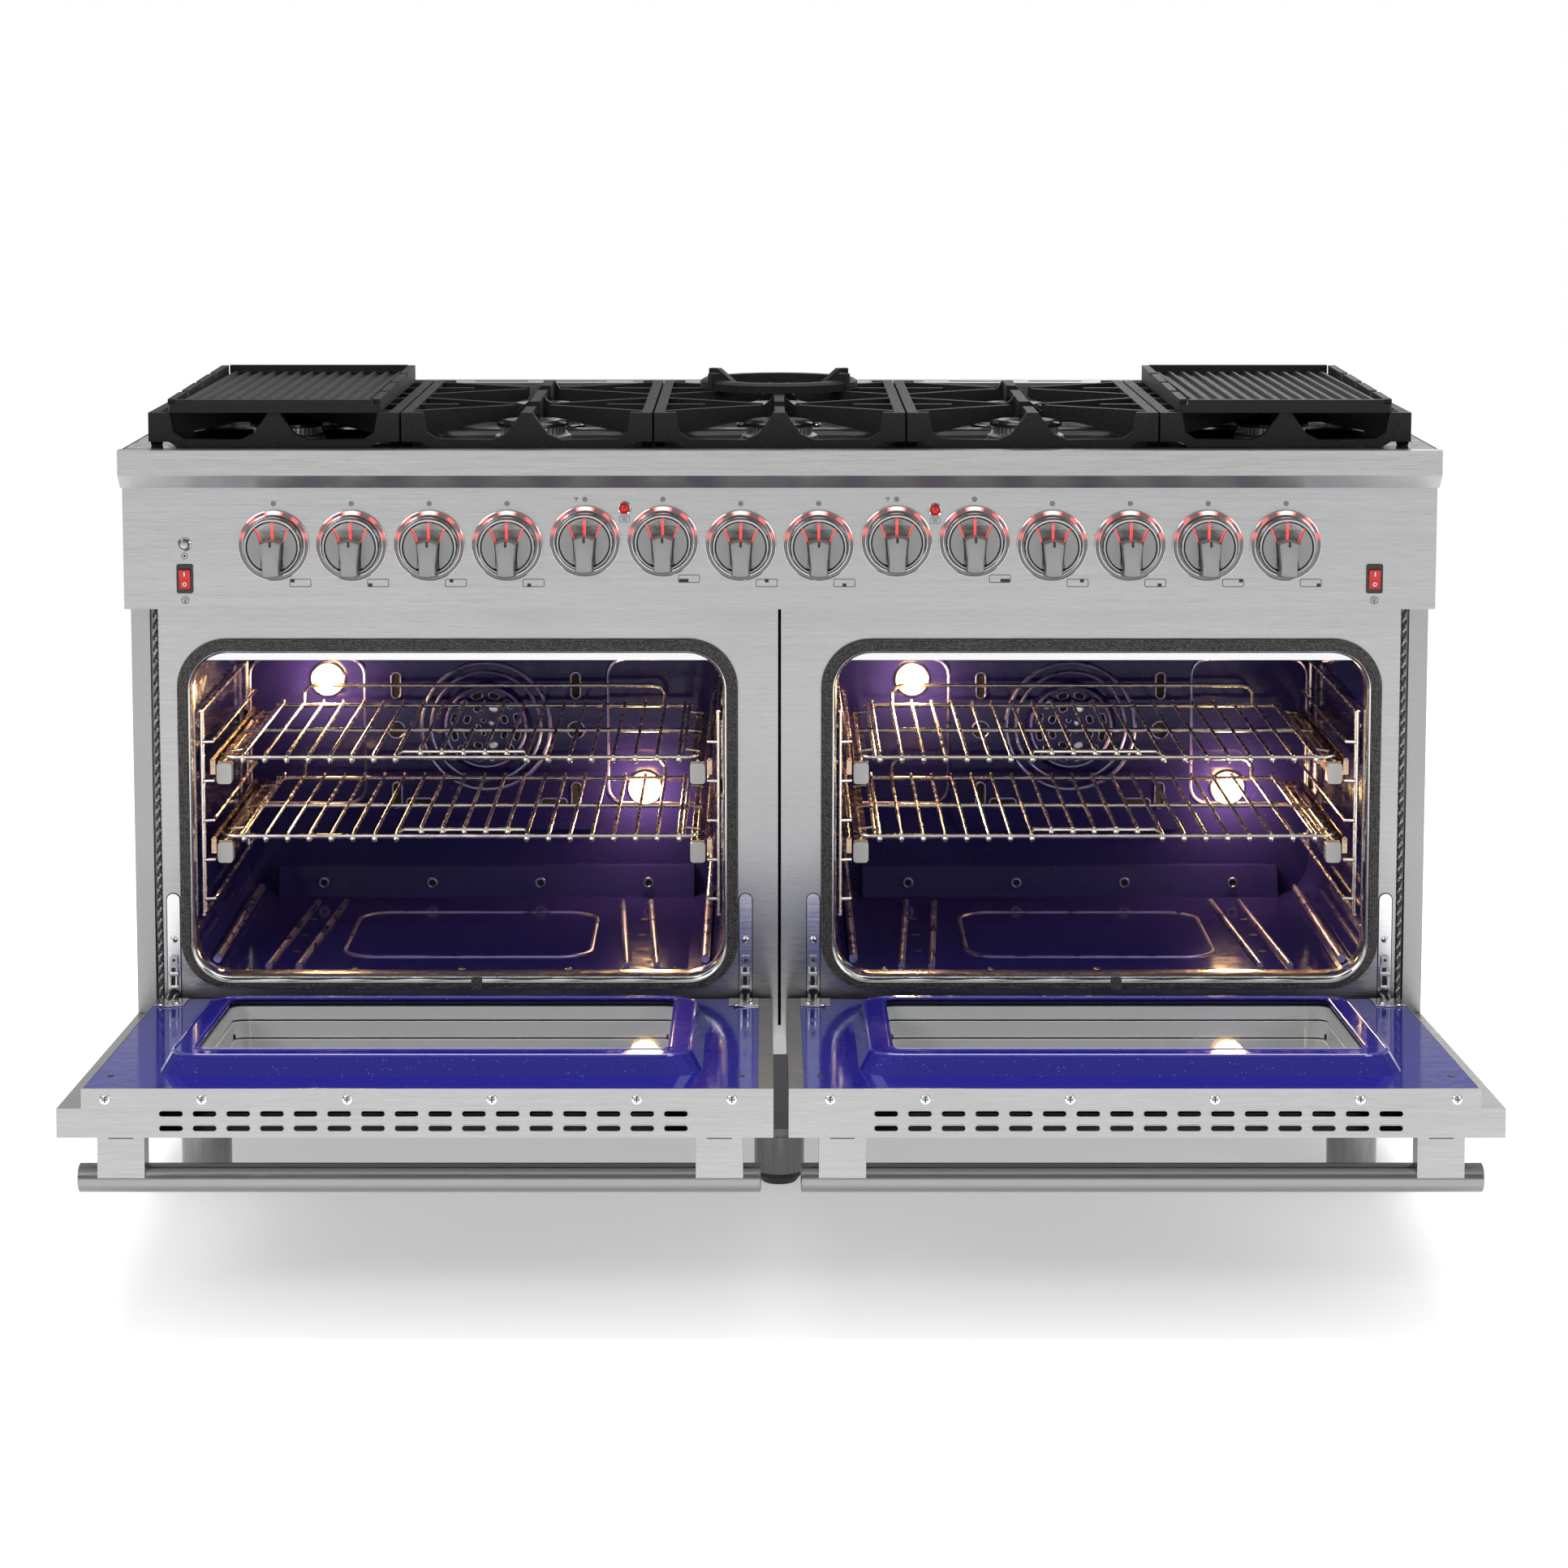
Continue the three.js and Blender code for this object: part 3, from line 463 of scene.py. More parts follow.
# Black for printed marks, and also painted shade: screw recesses, the rim round each hinge plate and the
# hinge slots.
INK_AND_PAINTED_SHADE = plain("black_ink_and_painted_shade", (0.01, 0.01, 0.01), 0.5)
WHITE_INK = plain("white_ink", (0.85, 0.85, 0.85), 0.5)
RUBBER = plain("black_rubber", (0.012, 0.012, 0.012), 0.55)
BLACK_PLASTIC = plain("black_plastic", (0.015, 0.015, 0.016), 0.35)
LIGHT_BLOCK = plain("slide_end", (0.5, 0.49, 0.46), 0.4)
RED_PLASTIC = plain("red_rocker", (0.5, 0.015, 0.012), 0.3)
# Red glow on the knobs' grooves and top slot: painted reflection of the lit ring round each knob.
PAINTED_RED_REFLECTION = glowing("painted_red_reflection", (1, 0.07, 0.06), 0.9)
JEWEL = glowing("red_jewel", (0.45, 0.006, 0.005), 0.12, 0.06)
LAMP = lamp_glow("oven_lamp")
RING_LIGHT = lit_ring("ring_light")
BRAID = twisted("gasket_thread", (0.018, 0.016, 0.015), (0.09, 0.083, 0.078), 420)
CORD = twisted("groove_cord", (0.08, 0.08, 0.08), (0.65, 0.65, 0.65), 500)
GLASS = Finish("clear_glass", (0.03, 0.035, 0.034), 0, 0.02, Alpha=0.13, Coat_Weight=0.3).material
DARK_GLASS = Finish("dark_glass", (0.01, 0.011, 0.012), 0, 0.05, Coat_Weight=0.2).material

# ---- the CAD nodes that are shown ----


def dress(node, finish, bevel=0):
    """Gives a CAD node its finish and, if asked, softened edges."""
    piece = frame["nodes"][node]
    piece.data.materials.clear()
    piece.data.materials.append(finish)
    if bevel:
        soften(piece, bevel)


dress("base_frame", DARK_STEEL, 0.6)
dress("oven_front_frame", STEEL_X, 0.4)
dress("control_panel", STEEL_X, 0.8)
dress("front_trim", STEEL_X, 0.8)
dress("back_panel", ZINC)
dress("wok_ring", IRON, 0.8)
for side in SIDES.values():
    dress("side_panel_" + side, STEEL_Y, 0.4)
    dress("oven_liner_" + side, CAVITY_BLUE)
    dress("door_shell_" + side, STEEL_X, 0.7)
    dress("door_liner_" + side, BLUE, 1.2)
    dress("griddle_" + side, GRIDDLE_IRON, 1.2)
    dress("rocker_" + side, RED_PLASTIC, 0.5)
for number in range(1, 6):
    dress("grate_%d" % number, IRON, 1)

# The trim's chamfer that faces down and forward takes the lighter steel: a painted sheen for the light it
# reflects.
trim_node = frame["nodes"]["front_trim"]
trim_node.data.materials.append(TRIM_UNDER_PAINTED_SHEEN)
for face in trim_node.data.polygons:
    if face.normal.y < -0.3 and face.normal.z < -0.3:
        face.material_index = 1
back = frame["nodes"]["back_panel"]
back.data.materials.append(STEEL_X)
for face in back.data.polygons:
    if face.center.z > 0.892 and face.center.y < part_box("back_panel")[1].y - 0.0005:
        face.material_index = 1

# ---- control panel ----

KNOB_PITCH = 90.05
KNOB_Z = 784
RAISED_KNOBS = (5, 6, 9, 10)
OVEN_KNOBS = (5, 9)


def knob_place(number):
    """The centre of a knob on the panel's face."""
    return (number - 7.5) * KNOB_PITCH, KNOB_Z + (5 if number in RAISED_KNOBS else 0)


def dish_height(radius):
    """How far the knob's coned face stands off the panel at a radius."""
    return 12.5 + 5.5 * (radius / 28) ** 2


def knob_shape():
    """A knob seen from its shaft: skirt, coned dish, two side pads, a waisted grip, and grooves and a top
    slot that glow red as a painted reflection of the ring light.
    """
    metal, dish, satin, light, dark = range(5)
    knob = Shape(own_frame)
    skirt = [(30, 5), (33.6, 5), (34, 5.8), (34, 17.5), (33.2, 20.4), (31.8, 21.8), (30.2, 21.6)]
    cone = [(29.2, 20)] + [(r, dish_height(r)) for r in (28, 24, 19, 13, 6, 0)]
    kinds = [metal] * len(skirt) + [dish] * (len(cone) - 1)
    knob.turned(skirt + cone, (0, 0, 0), "y", sides=56, kinds=kinds)
    knob.turned([(0, 5), (30, 5)], (0, 0, 0), "y", metal, sides=56)

    for side in SIDES:
        groove = [(20, 21.4), (18, 17), (15.8, 11.8), (14, 6.4)]
        inner = groove + [(13, -3), (12.4, -12), (12.6, -20), (13.6, -25)]
        outer = arc(28.6, -60, 46, steps=12)
        for low, high, grow in ((12.5, 20.2, 1), (20.2, 21.6, 0.965)):
            ring = [(u * grow + 0.7 * (1 - grow) * 20, v * grow) for u, v in inner + outer]
            knob.prism([(side * u, v) for u, v in ring], -high, -low, "y", satin)
        # A red line in each groove: painted reflection of the ring light.
        line = [(side * (u - 0.9), -dish_height(hypot(u, v)) - 0.5, v - 0.3) for u, v in groove]
        knob.tube(line, 0.85, light, sides=6)

    waist = [(10.2, -32.4), (10.2, -24), (10.6, -14), (11.4, -4), (12.3, 5.6)]
    crown = [(12.3 * u, 5.6 + 3.4 * (1 - u * u)) for u in (0.66, 0.33, 0, -0.33, -0.66)]
    foot = [(-6, -33.4), (0, -33.9), (6, -33.4)]
    outline = waist + crown + [(-u, v) for u, v in reversed(waist)] + foot
    layers = []
    for height, grow in ((10, 1.06), (35.2, 0.98), (37.2, 0.94), (38, 0.86)):
        layers.append([(u * grow, -height, v * (0.5 + grow / 2) - 0.5) for u, v in outline])
    knob.rings(layers, satin)

    # The top slot glows red: painted reflection of the ring light.
    slot = []
    for v in (8.6, 26):
        top = -dish_height(v) - 0.6
        slot.append([(-1.4, top, v), (1.4, top, v), (1.4, top + 2, v), (-1.4, top + 2, v)])
    knob.rings(slot, light)
    knob.prism(rounded(3, 7, 1.4, (0, 5), 3), -38.25, -36, "y", dark)
    return knob


def bezel_shape():
    """The fixed ring round a knob, with its lit channel."""
    metal, light = range(2)
    bezel = Shape(own_frame)
    profile = [(35, 0.2), (35, 4.4), (35.5, 5), (36.2, 4.8), (36.6, 3)]
    profile += [(40, 2.6), (40.3, 3.6), (40.8, 3.4), (41.2, 2.4), (41.3, 0.2)]
    kinds = [metal] * 4 + [light] + [metal] * 5
    bezel.turned(profile, (0, 0, 0), "y", sides=64, kinds=kinds, closed=True)
    return bezel


for number in range(1, 15):
    x, z = knob_place(number)
    centre = body_frame(x, PANEL_Y, z)
    name = "knob_%d" % number
    finishes = [POLISHED, KNOB_DISH, SATIN, PAINTED_RED_REFLECTION, INK_AND_PAINTED_SHADE]
    build(knob_shape(), name + "_look", finishes, name, 0.35, (name,), centre)
    build(bezel_shape(), name + "_bezel", [CHROME, RING_LIGHT], "range", 0, (), centre)

marks = Shape()
MARK_Y = PANEL_Y - 0.12
INK_DEPTH = 0.2
OFF_MARK_UP = 48.5


def flat_ring(shape, x, z, inner, outer, kind=0):
    """A printed ring on the panel."""
    profile = [(inner, 0), (inner, INK_DEPTH), (outer, INK_DEPTH), (outer, 0)]
    shape.turned(profile, (x, MARK_Y, z), "y", kind, 20, None, True)


def flat_bar(shape, x, z, width, height, kind=0):
    """A printed bar on the panel."""
    low = (x - width / 2, MARK_Y - INK_DEPTH, z - height / 2)
    high = (x + width / 2, MARK_Y, z + height / 2)
    shape.block(low, high, kind)


# Which part of the cooktop each knob lights, as a block in its icon: column, row and width.
OVEN_BLOCKS = {6: (-6, -2, 11), 10: (6, -2, 11)}
BURNER_COLUMNS = {1: -9, 3: -5, 7: 0, 11: 5, 13: 9}
blocks = dict(OVEN_BLOCKS)
for number, column in BURNER_COLUMNS.items():
    blocks[number] = (column, 2.4, 4.5)
    blocks[number + 1] = (column, -2.4, 4.5)
for number in range(1, 15):
    x, z = knob_place(number)
    flat_ring(marks, x, z + OFF_MARK_UP, 1.8, 2.8)
    flat_ring(marks, x, z + OFF_MARK_UP, 0.05, 1)
    if number in OVEN_KNOBS:
        flat_ring(marks, x - 12, z + OFF_MARK_UP + 1.4, 0.5, 0.9)
        flat_bar(marks, x - 10.2, z + OFF_MARK_UP, 0.8, 4.4)
        flat_bar(marks, x - 9, z + OFF_MARK_UP + 1.8, 2.2, 0.8)
        flat_bar(marks, x - 9.2, z + OFF_MARK_UP + 0.1, 1.8, 0.7)
    if number in blocks:
        icon_x, icon_z = x + 30, z - 44
        outer = rounded(25, 9.4, 1.6, (icon_x, icon_z), 3)
        inner = rounded(23.6, 8, 1, (icon_x, icon_z), 3)
        marks.border(outer, inner, MARK_Y - INK_DEPTH, MARK_Y)
        column, row, width = blocks[number]
        flat_bar(marks, icon_x + column, icon_z + row, width, 3.6)

INDICATORS = {"left": (KNOB_PITCH * -2 + 0.5, 827), "right": (KNOB_PITCH * 2 - 0.5, 825)}
for side, (x, z) in INDICATORS.items():
    outer = rounded(12, 7, 1.2, (x, z - 12.5), 3)
    inner = rounded(11, 6, 0.8, (x, z - 12.5), 3)
    marks.border(outer, inner, MARK_Y - INK_DEPTH, MARK_Y)
    for line in range(3):
        flat_bar(marks, x, z - 14 + line * 1.5, 6, 0.5)
    jewel = Shape()
    ring = [(6.2, 0.1), (6.4, 3), (7.2, 3.4), (8, 2.2), (8.2, 0.1)]
    jewel.turned(ring, (x, PANEL_Y, z), "y", 0, 32, None, True)
    dome = [(6.3, 0.5), (6.2, 2.2), (5.4, 3.8), (3.8, 5), (1.9, 5.7), (0, 5.9)]
    jewel.turned(dome, (x, PANEL_Y, z), "y", 1, 32)
    build(jewel, "indicator_" + side, [CHROME, JEWEL], "range")

ROCKER_X, ROCKER_Z, BUTTON_Z = 689, 745, 785
for x in (-ROCKER_X, ROCKER_X):
    flat_ring(marks, x, ROCKER_Z - 25, 4, 4.7)
    flat_ring(marks, x, ROCKER_Z - 24.4, 1.2, 2)
    flat_bar(marks, x, ROCKER_Z - 27.4, 1.8, 1.4)
flat_ring(marks, -ROCKER_X, BUTTON_Z - 13.6, 3.1, 3.7)
flat_ring(marks, -ROCKER_X, BUTTON_Z - 13.6, 0.05, 1.4)
build(marks, "panel_marks", [INK_AND_PAINTED_SHADE], "range")

for sign, side in SIDES.items():
    bezel = Shape()
    outer = rounded(19, 34, 2.2, (sign * ROCKER_X, ROCKER_Z), 4)
    inner = rounded(13.6, 22.6, 1, (sign * ROCKER_X, ROCKER_Z), 4)
    bezel.border(outer, inner, PANEL_Y - 2.4, PANEL_Y - 1.6)
    build(bezel, "rocker_bezel_" + side, [BLACK_PLASTIC], "range", 0.4)
    low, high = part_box("rocker_" + side)
    strokes = Shape(own_frame)
    strokes.block((-0.6, -0.3, 3.6), (0.6, 0.3, 8.4), 0)
    strokes.turned([(1.6, 0), (1.6, 0.3), (2.4, 0.3), (2.4, 0)], (0, 0, -6), "y", 0, 20, None, True)
    tilt = radians(7)
    middle = Vector(((low.x + high.x) / 2, low.y + 11 * sin(tilt) * MM - 0.0002, (low.z + high.z) / 2))
    build(strokes, "rocker_marks_" + side, [WHITE_INK], "rocker_" + side, at=middle, turn=tilt)

button = Shape()
cap = [(0, -2), (5, -2), (5, 3.8), (4.5, 4.8), (3, 5.2), (0, 5.3)]
button.turned(cap, (-ROCKER_X, PANEL_Y, BUTTON_Z), "y", 0, 28)
build(button, "push_button_look", [POLISHED], "push_button", 0, ("push_button",))
collar = Shape()
ring = [(5.7, 0.1), (5.8, 1.8), (6.8, 2.4), (8, 1.6), (8.2, 0.1)]
collar.turned(ring, (-ROCKER_X, PANEL_Y, BUTTON_Z), "y", 0, 32, None, True)
build(collar, "push_button_collar", [POLISHED], "range")

# ---- cooktop ----

BURNER_XS = (-585, -292.5, 0, 292.5, 585)
BURNER_YS = (86, 328)
DECK_TOP = 897
DECK_SKIRT, DECK_SHEET = 889, 2
WELL_DEPTH = 7
WELL_HALF_WIDTH, WELL_HALF_LENGTH = 122, 104
WELL_SLOPE = 0.12


def well_drop(x, y):
    """How far the deck is pressed down: a rounded rectangular well round each burner."""
    drop = 0
    for burner_x in BURNER_XS:
        for burner_y in BURNER_YS:
            across = abs(x - burner_x) / WELL_HALF_WIDTH
            along = abs(y - burner_y) / WELL_HALF_LENGTH
            edge = (across**6 + along**6) ** (1 / 6)
            slope = min(1, max(0, (1 - edge) / WELL_SLOPE))
            drop = max(drop, WELL_DEPTH * slope * slope * (3 - 2 * slope))
    return drop


def deck_shape():
    """The pressed cooktop: one enamelled sheet with ten wells and a flat skirt round its edge."""
    deck = Shape()
    step = 5
    half, front, rear = 757.5, -55.5, 557.5
    columns = int(2 * half / step)
    rows = int((rear - front) / step)
    for row in range(rows + 1):
        for column in range(columns + 1):
            x = -half + 2 * half * column / columns
            y = front + (rear - front) * row / rows
            deck.points.append((x, y, DECK_TOP - well_drop(x, y)))
    wide = columns + 1
    for row in range(rows):
        for column in range(columns):
            corner = row * wide + column
            deck.faces.append([corner, corner + 1, corner + wide + 1, corner + wide])
            deck.kinds.append(0)
    for y in (front, rear - DECK_SHEET):
        deck.block((-half, y, DECK_SKIRT), (half, y + DECK_SHEET, DECK_TOP))
    for x in (-half, half - DECK_SHEET):
        deck.block((x, front, DECK_SKIRT), (x + DECK_SHEET, rear, DECK_TOP))
    return deck


build(deck_shape(), "cooktop_deck_look", [BLACK_ENAMEL], "range", 0, ("cooktop_deck",))


def burner_shape(x):
    """A front and a rear burner: rim, ported head, domed cap, igniter and flame sensor."""
    alloy, cap_finish, white, rim = range(4)
    pair = Shape()
    floor = DECK_TOP - WELL_DEPTH
    for y in BURNER_YS:
        centre = (x, y, floor)
        ring = [(44, 0), (52, 0.3), (54, 2.2), (52.5, 3.6), (46, 3.4)]
        pair.turned(ring, centre, "z", rim, 48, None, True)
        base = [(0, 1), (45.5, 1), (46, 3), (45, 10.5), (41, 12.5), (0, 12.5)]
        pair.turned(base, centre, "z", alloy, 48)
        pair.turned([(0, 12), (34, 12), (34, 21.5), (0, 21.5)], centre, "z", alloy, 48)
        ports = 40
        for port in range(ports):
            angle = tau * port / ports
            wide = tau / ports * 0.28
            wedge = [(33, angle - wide), (39, angle - wide), (39, angle + wide), (33, angle + wide)]
            outline = [(x + r * cos(t), y + r * sin(t)) for r, t in wedge]
            pair.prism(outline, floor + 12.2, floor + 21, "z", alloy)
        dome = [(0, 21.2), (42, 21.2), (43, 22.4), (42.6, 25.4), (40.5, 27.4), (34, 28.6)]
        dome += [(30, 28.2), (0, 28.8)]
        pair.turned(dome, centre, "z", cap_finish, 48)
        for side in SIDES:
            pin = [(0, 2), (3.2, 2), (3.2, 12), (1.3, 13), (1.3, 22), (0, 22.4)]
            pair.turned(pin, (x + side * 36, y + 33, floor), "z", white, 12)
    return pair


for number, x in enumerate(BURNER_XS, 1):
    finishes = [BURNER, BLACK_ENAMEL, WHITE_INK, POLISHED]
    name = "burner_pair_%d" % number
    build(burner_shape(x), name + "_look", finishes, "range", 0.3, (name,))

# ---- legs and gaskets ----

LEGS = {"left": -690, "centre": 0, "right": 690}
LEG_YS = {"front": 60, "rear": 560}
for row, y in LEG_YS.items():
    for place, x in LEGS.items():
        leg = Shape()
        foot = [(0, 0), (20.5, 0), (23, 3), (27, 8.6), (27.4, 15), (0, 15)]
        leg.turned(foot, (x, y, 0), "z", 1, 40)
        sleeve = [(0, 14), (28, 14), (29.6, 14.6), (30, 16), (30, 60)]
        sleeve += [(29.5, 60.5), (29.5, 61.5), (30, 62), (30, 100.5), (0, 100.5)]
        leg.turned(sleeve, (x, y, 0), "z", 0, 56)
        name = "leg_%s_%s" % (row, place)
        build(leg, name + "_look", [STEEL_Z, RUBBER], "range", 0, (name,), smooth=30)

GASKET_Z = 459


def low_part(z):
    """0 above the lower corners of an oven's mouth, rising to 1 along its sill."""
    return min(1, max(0, (GASKET_Z - 145 - z) / 49))


STRANDS = 5
for sign, side in SIDES.items():
    gasket = Shape()
    for strand in range(STRANDS):
        grow = -5.2 + 10.4 * strand / (STRANDS - 1)
        outline = rounded(644 + 2 * grow, 404 + 2 * grow, 51 + grow, (sign * OVEN_X, GASKET_Z), 14)
        path = []
        for i, (u, v) in enumerate(outline):
            following = outline[(i + 1) % len(outline)]
            spans = max(1, int(dist((u, v), following) / 12))
            for k in range(spans):
                t = k / spans
                wave = 0.5 * sin(len(path) * 0.9 + strand * 1.7)
                crown = 0.7 * sin(pi * strand / (STRANDS - 1))
                depth = -4 + wave - crown
                path.append((u + (following[0] - u) * t, depth, v + (following[1] - v) * t))
        gasket.tube(path, 1.9, 0, 6, True)
    joint_x = sign * OVEN_X + 20
    gasket.prism(rounded(13, 15, 2, (joint_x, GASKET_Z - 202), 3), -6.9, -2, "y", 0)
    name = "door_gasket_" + side
    build(gasket, name + "_look", [BRAID], "range", 0, (name,))

# ---- ovens ----

CAVITY_BACK = 465.3
RAISED_BACK = 455.3
FAN_Z = 488
CAVITY_FLOOR = 267
LAMPS = ((-205, 548), (205, 406))
LAMP_AHEAD, LAMP_POWER = 40, 1.7
LADDER_X = 306
RUNG_ZS = (351, 398, 445.5, 493, 540)
RAIL_ZS = (334, 577)
# How deep each upright of a side rack stands, and the radius of its wire.
UPRIGHTS = ((26, 2), (36, 2.9), (424, 2.9), (434, 2))
RACK_ZS = {"upper": 520, "lower": 425}


def dark_slot(shape, x, z, width, height, face_y, rim=1.3):
    """A punched opening in a sheet that faces the front: a near-black patch of painted shade, with its
    turned edge.
    """
    outline = rounded(width, height, min(width, height) / 2 - 0.05, (x, z), 5)
    shape.prism(outline, face_y - 0.5, face_y + 0.3, "y", 1)
    shape.bead(outline, face_y - 0.3, rim, 0, 6)


def oven_details(sign):
    """What is pressed into or fixed on the back and floor of an oven: fan, slots, ridges, screws."""
    centre = sign * OVEN_X
    made = Shape()
    boss_y = 447.3
    # The rings, beads and ridges below take the painted highlight of the pressed edges.
    fan_rings = ((83, 48, RAISED_BACK - 0.6, 3.2), (71, 48, RAISED_BACK - 0.6, 2.6))
    fan_rings += ((52, 40, boss_y - 0.4, 2),)
    for radius, steps, level, wire in fan_rings:
        made.bead(circle(radius, (centre, FAN_Z), steps), level, wire)
    for count, radius, size, across in ((12, 42, 14, 8), (8, 26, 11, 8), (5, 9, 6, 5)):
        for i in range(count):
            angle = tau * (i + 0.5) / count
            middle = (centre + radius * cos(angle), FAN_Z + radius * sin(angle))
            flat = rounded(across, size, across / 2 - 0.1, (0, 0), 4)
            turned = []
            for u, v in flat:
                turned.append((middle[0] + u * cos(angle) - v * sin(angle),
                               middle[1] + u * sin(angle) + v * cos(angle)))
            # Fan slots are near-black painted shade; a few take the zinc finish instead.
            made.prism(turned, boss_y - 0.5, boss_y + 0.4, "y", 4 if (i * 7 + count) % 5 == 0 else 1)
            made.bead(turned, boss_y - 0.3, 0.9, 0, 6)
    for side in SIDES:
        for z in (541, 397):
            dark_slot(made, centre + side * 116, z, 12, 34, RAISED_BACK)
        dark_slot(made, centre + side * 116, 483, 22, 22, RAISED_BACK)
        dark_slot(made, centre + side * 87, 388, 34, 10, RAISED_BACK)
        for pitch in (70, 210):
            dark_slot(made, centre + side * pitch, 286, 11, 11, 435, 1.6)
        made.bead(rounded(150, 190, 22, (centre + side * 232, 480), 5), CAVITY_BACK - 0.4, 2.6)
        ridge = ((side * 232, 40), (side * 214, 400), (side * 178, 400), (side * 196, 40))
        for (x_near, y_near), (x_far, y_far) in ((ridge[0], ridge[1]), (ridge[3], ridge[2])):
            path = [(centre + x_near, y_near, CAVITY_FLOOR + 1), (centre + x_far, y_far, CAVITY_FLOOR + 1)]
            made.tube(path, 4, 0, 12)
        fold_x, fold_z = centre + side * 290, CAVITY_FLOOR + 14
        made.tube([(fold_x, 20, fold_z), (fold_x, 430, fold_z)], 5, 0, 10)
        # Holes in the floor: near-black patches of painted shade.
        for y in (120, 210, 300):
            hole = circle(5, (centre + side * 209, y), 16)
            made.prism(hole, CAVITY_FLOOR - 0.3, CAVITY_FLOOR + 0.5, "z", 1)
        made.screw((centre + side * 312.5, 16, 320), "x", 3.6, 2, 3, -side)
    made.bead(rounded(300, 250, 40, (centre, 215), 6), CAVITY_FLOOR - 0.4, 2.6, facing="z")
    for i in range(5):
        made.screw((centre - 254 + 127 * i, 24, CAVITY_FLOOR + 0.2), "z", 4.2, 2, 3)
    return made


def mouth_lip(sign):
    """The bright lip round an oven's mouth: rolled forward, with a deep band at the top and a broad sill."""
    lip = Shape()
    centre = (sign * OVEN_X, GASKET_Z)
    inside = rounded(628, 388, 45, centre, 12)
    outside = rounded(630, 390, 46, centre, 12)
    # Each pair is how far across the roll a point lies and how deep it stands in the mouth.
    roll = ((0, 20), (0, 8), (0.14, 1), (0.4, -4), (0.75, -6.4), (1, -6.9))
    roll += ((1, -5.6), (0.7, -4.6), (0.4, -1.6), (0.16, 20))
    loops = []
    for across, y in roll:
        loop = []
        for (u, v), (u_out, v_out) in zip(inside, outside):
            reach = across * (4.5 + 5.5 * low_part(v)) - 3
            loop.append((u + (u_out - u) * reach, y, v + (v_out - v) * reach))
        loops.append(loop)
    lip.rings(loops, 0, True)
    band = [(u, v) for u, v in rounded(628, 388, 45, centre, 16) if v >= 640]
    lip.prism(band, -1, 1.6, "y", 0)
    return lip


def ladder(sign):
    """The wire side racks: double posts front and rear, and a U-shaped rung at each level."""
    centre = sign * OVEN_X
    made = Shape()
    for side in SIDES:
        x = centre + side * LADDER_X
        for y, wire in UPRIGHTS:
            made.tube([(x, y, z) for z in RAIL_ZS], wire)
        for z in RAIL_ZS:
            made.tube([(x, y, z) for y in (26, 434)], 2.4)
        for z in RUNG_ZS:
            bent = x - side * 12
            corners = ((x, 30), (bent, 34), (bent, 60), (bent, 400), (bent, 426), (x, 430))
            made.tube([(u, y, z) for u, y in corners], 2.2)
        for z in RACK_ZS.values():
            made.block((x - side * 8, 42, z - 21), (x - side * 14, 432, z - 3), 1)
            made.tube([(x - side * 11, 42, z - 2.5), (x - side * 11, 432, z - 2.5)], 1.6, 1)
        made.screw((x + side * 4, 31, 560), "x", 3.5, 0, 0, -side)
    return made


def lamp_glass(x, z):
    """A domed lamp cover on the oven's back wall, with its ring."""
    made = Shape()
    centre = (x, CAVITY_BACK, z)
    dome = [(18, 0.5), (18, 6), (16.8, 10.6), (13.2, 14.6), (7.2, 17.2), (0, 18)]
    made.turned(dome, centre, "y", 0, 36)
    ring = [(18.4, 0.2), (18.7, 4.4), (21, 5.2), (23, 3.4), (23.6, 0.2)]
    made.turned(ring, centre, "y", 1, 36, None, True)
    return made


def warm_light(name, place):
    """A small lamp in an oven."""
    lamp = bpy.data.lights.new(name, "POINT")
    lamp.energy = LAMP_POWER
    lamp.color = (1, 0.62, 0.24)
    lamp.shadow_soft_size = 0.02
    placed(name, lamp, place)


for sign, side in SIDES.items():
    finishes = [PRESSED_EDGE_SHEEN, PAINTED_SHADE, CHROME, INK_AND_PAINTED_SHADE, ZINC_ARM]
    build(oven_details(sign), "oven_details_" + side, finishes, "range")
    build(mouth_lip(sign), "mouth_lip_" + side, [BRIGHT_STEEL], "range", 0.5)
    build(ladder(sign), "rack_ladder_" + side, [RACK_WIRE_WARM_CAST, BRONZE], "range")
    for number, (x, z) in enumerate(LAMPS, 1):
        place = sign * OVEN_X + x
        name = "oven_lamp_%s_%d" % (side, number)
        build(lamp_glass(place, z), name, [LAMP, CHROME], "range")
        warm_light(name + "_light", body_frame(place, CAVITY_BACK - LAMP_AHEAD, z))

# ---- racks ----

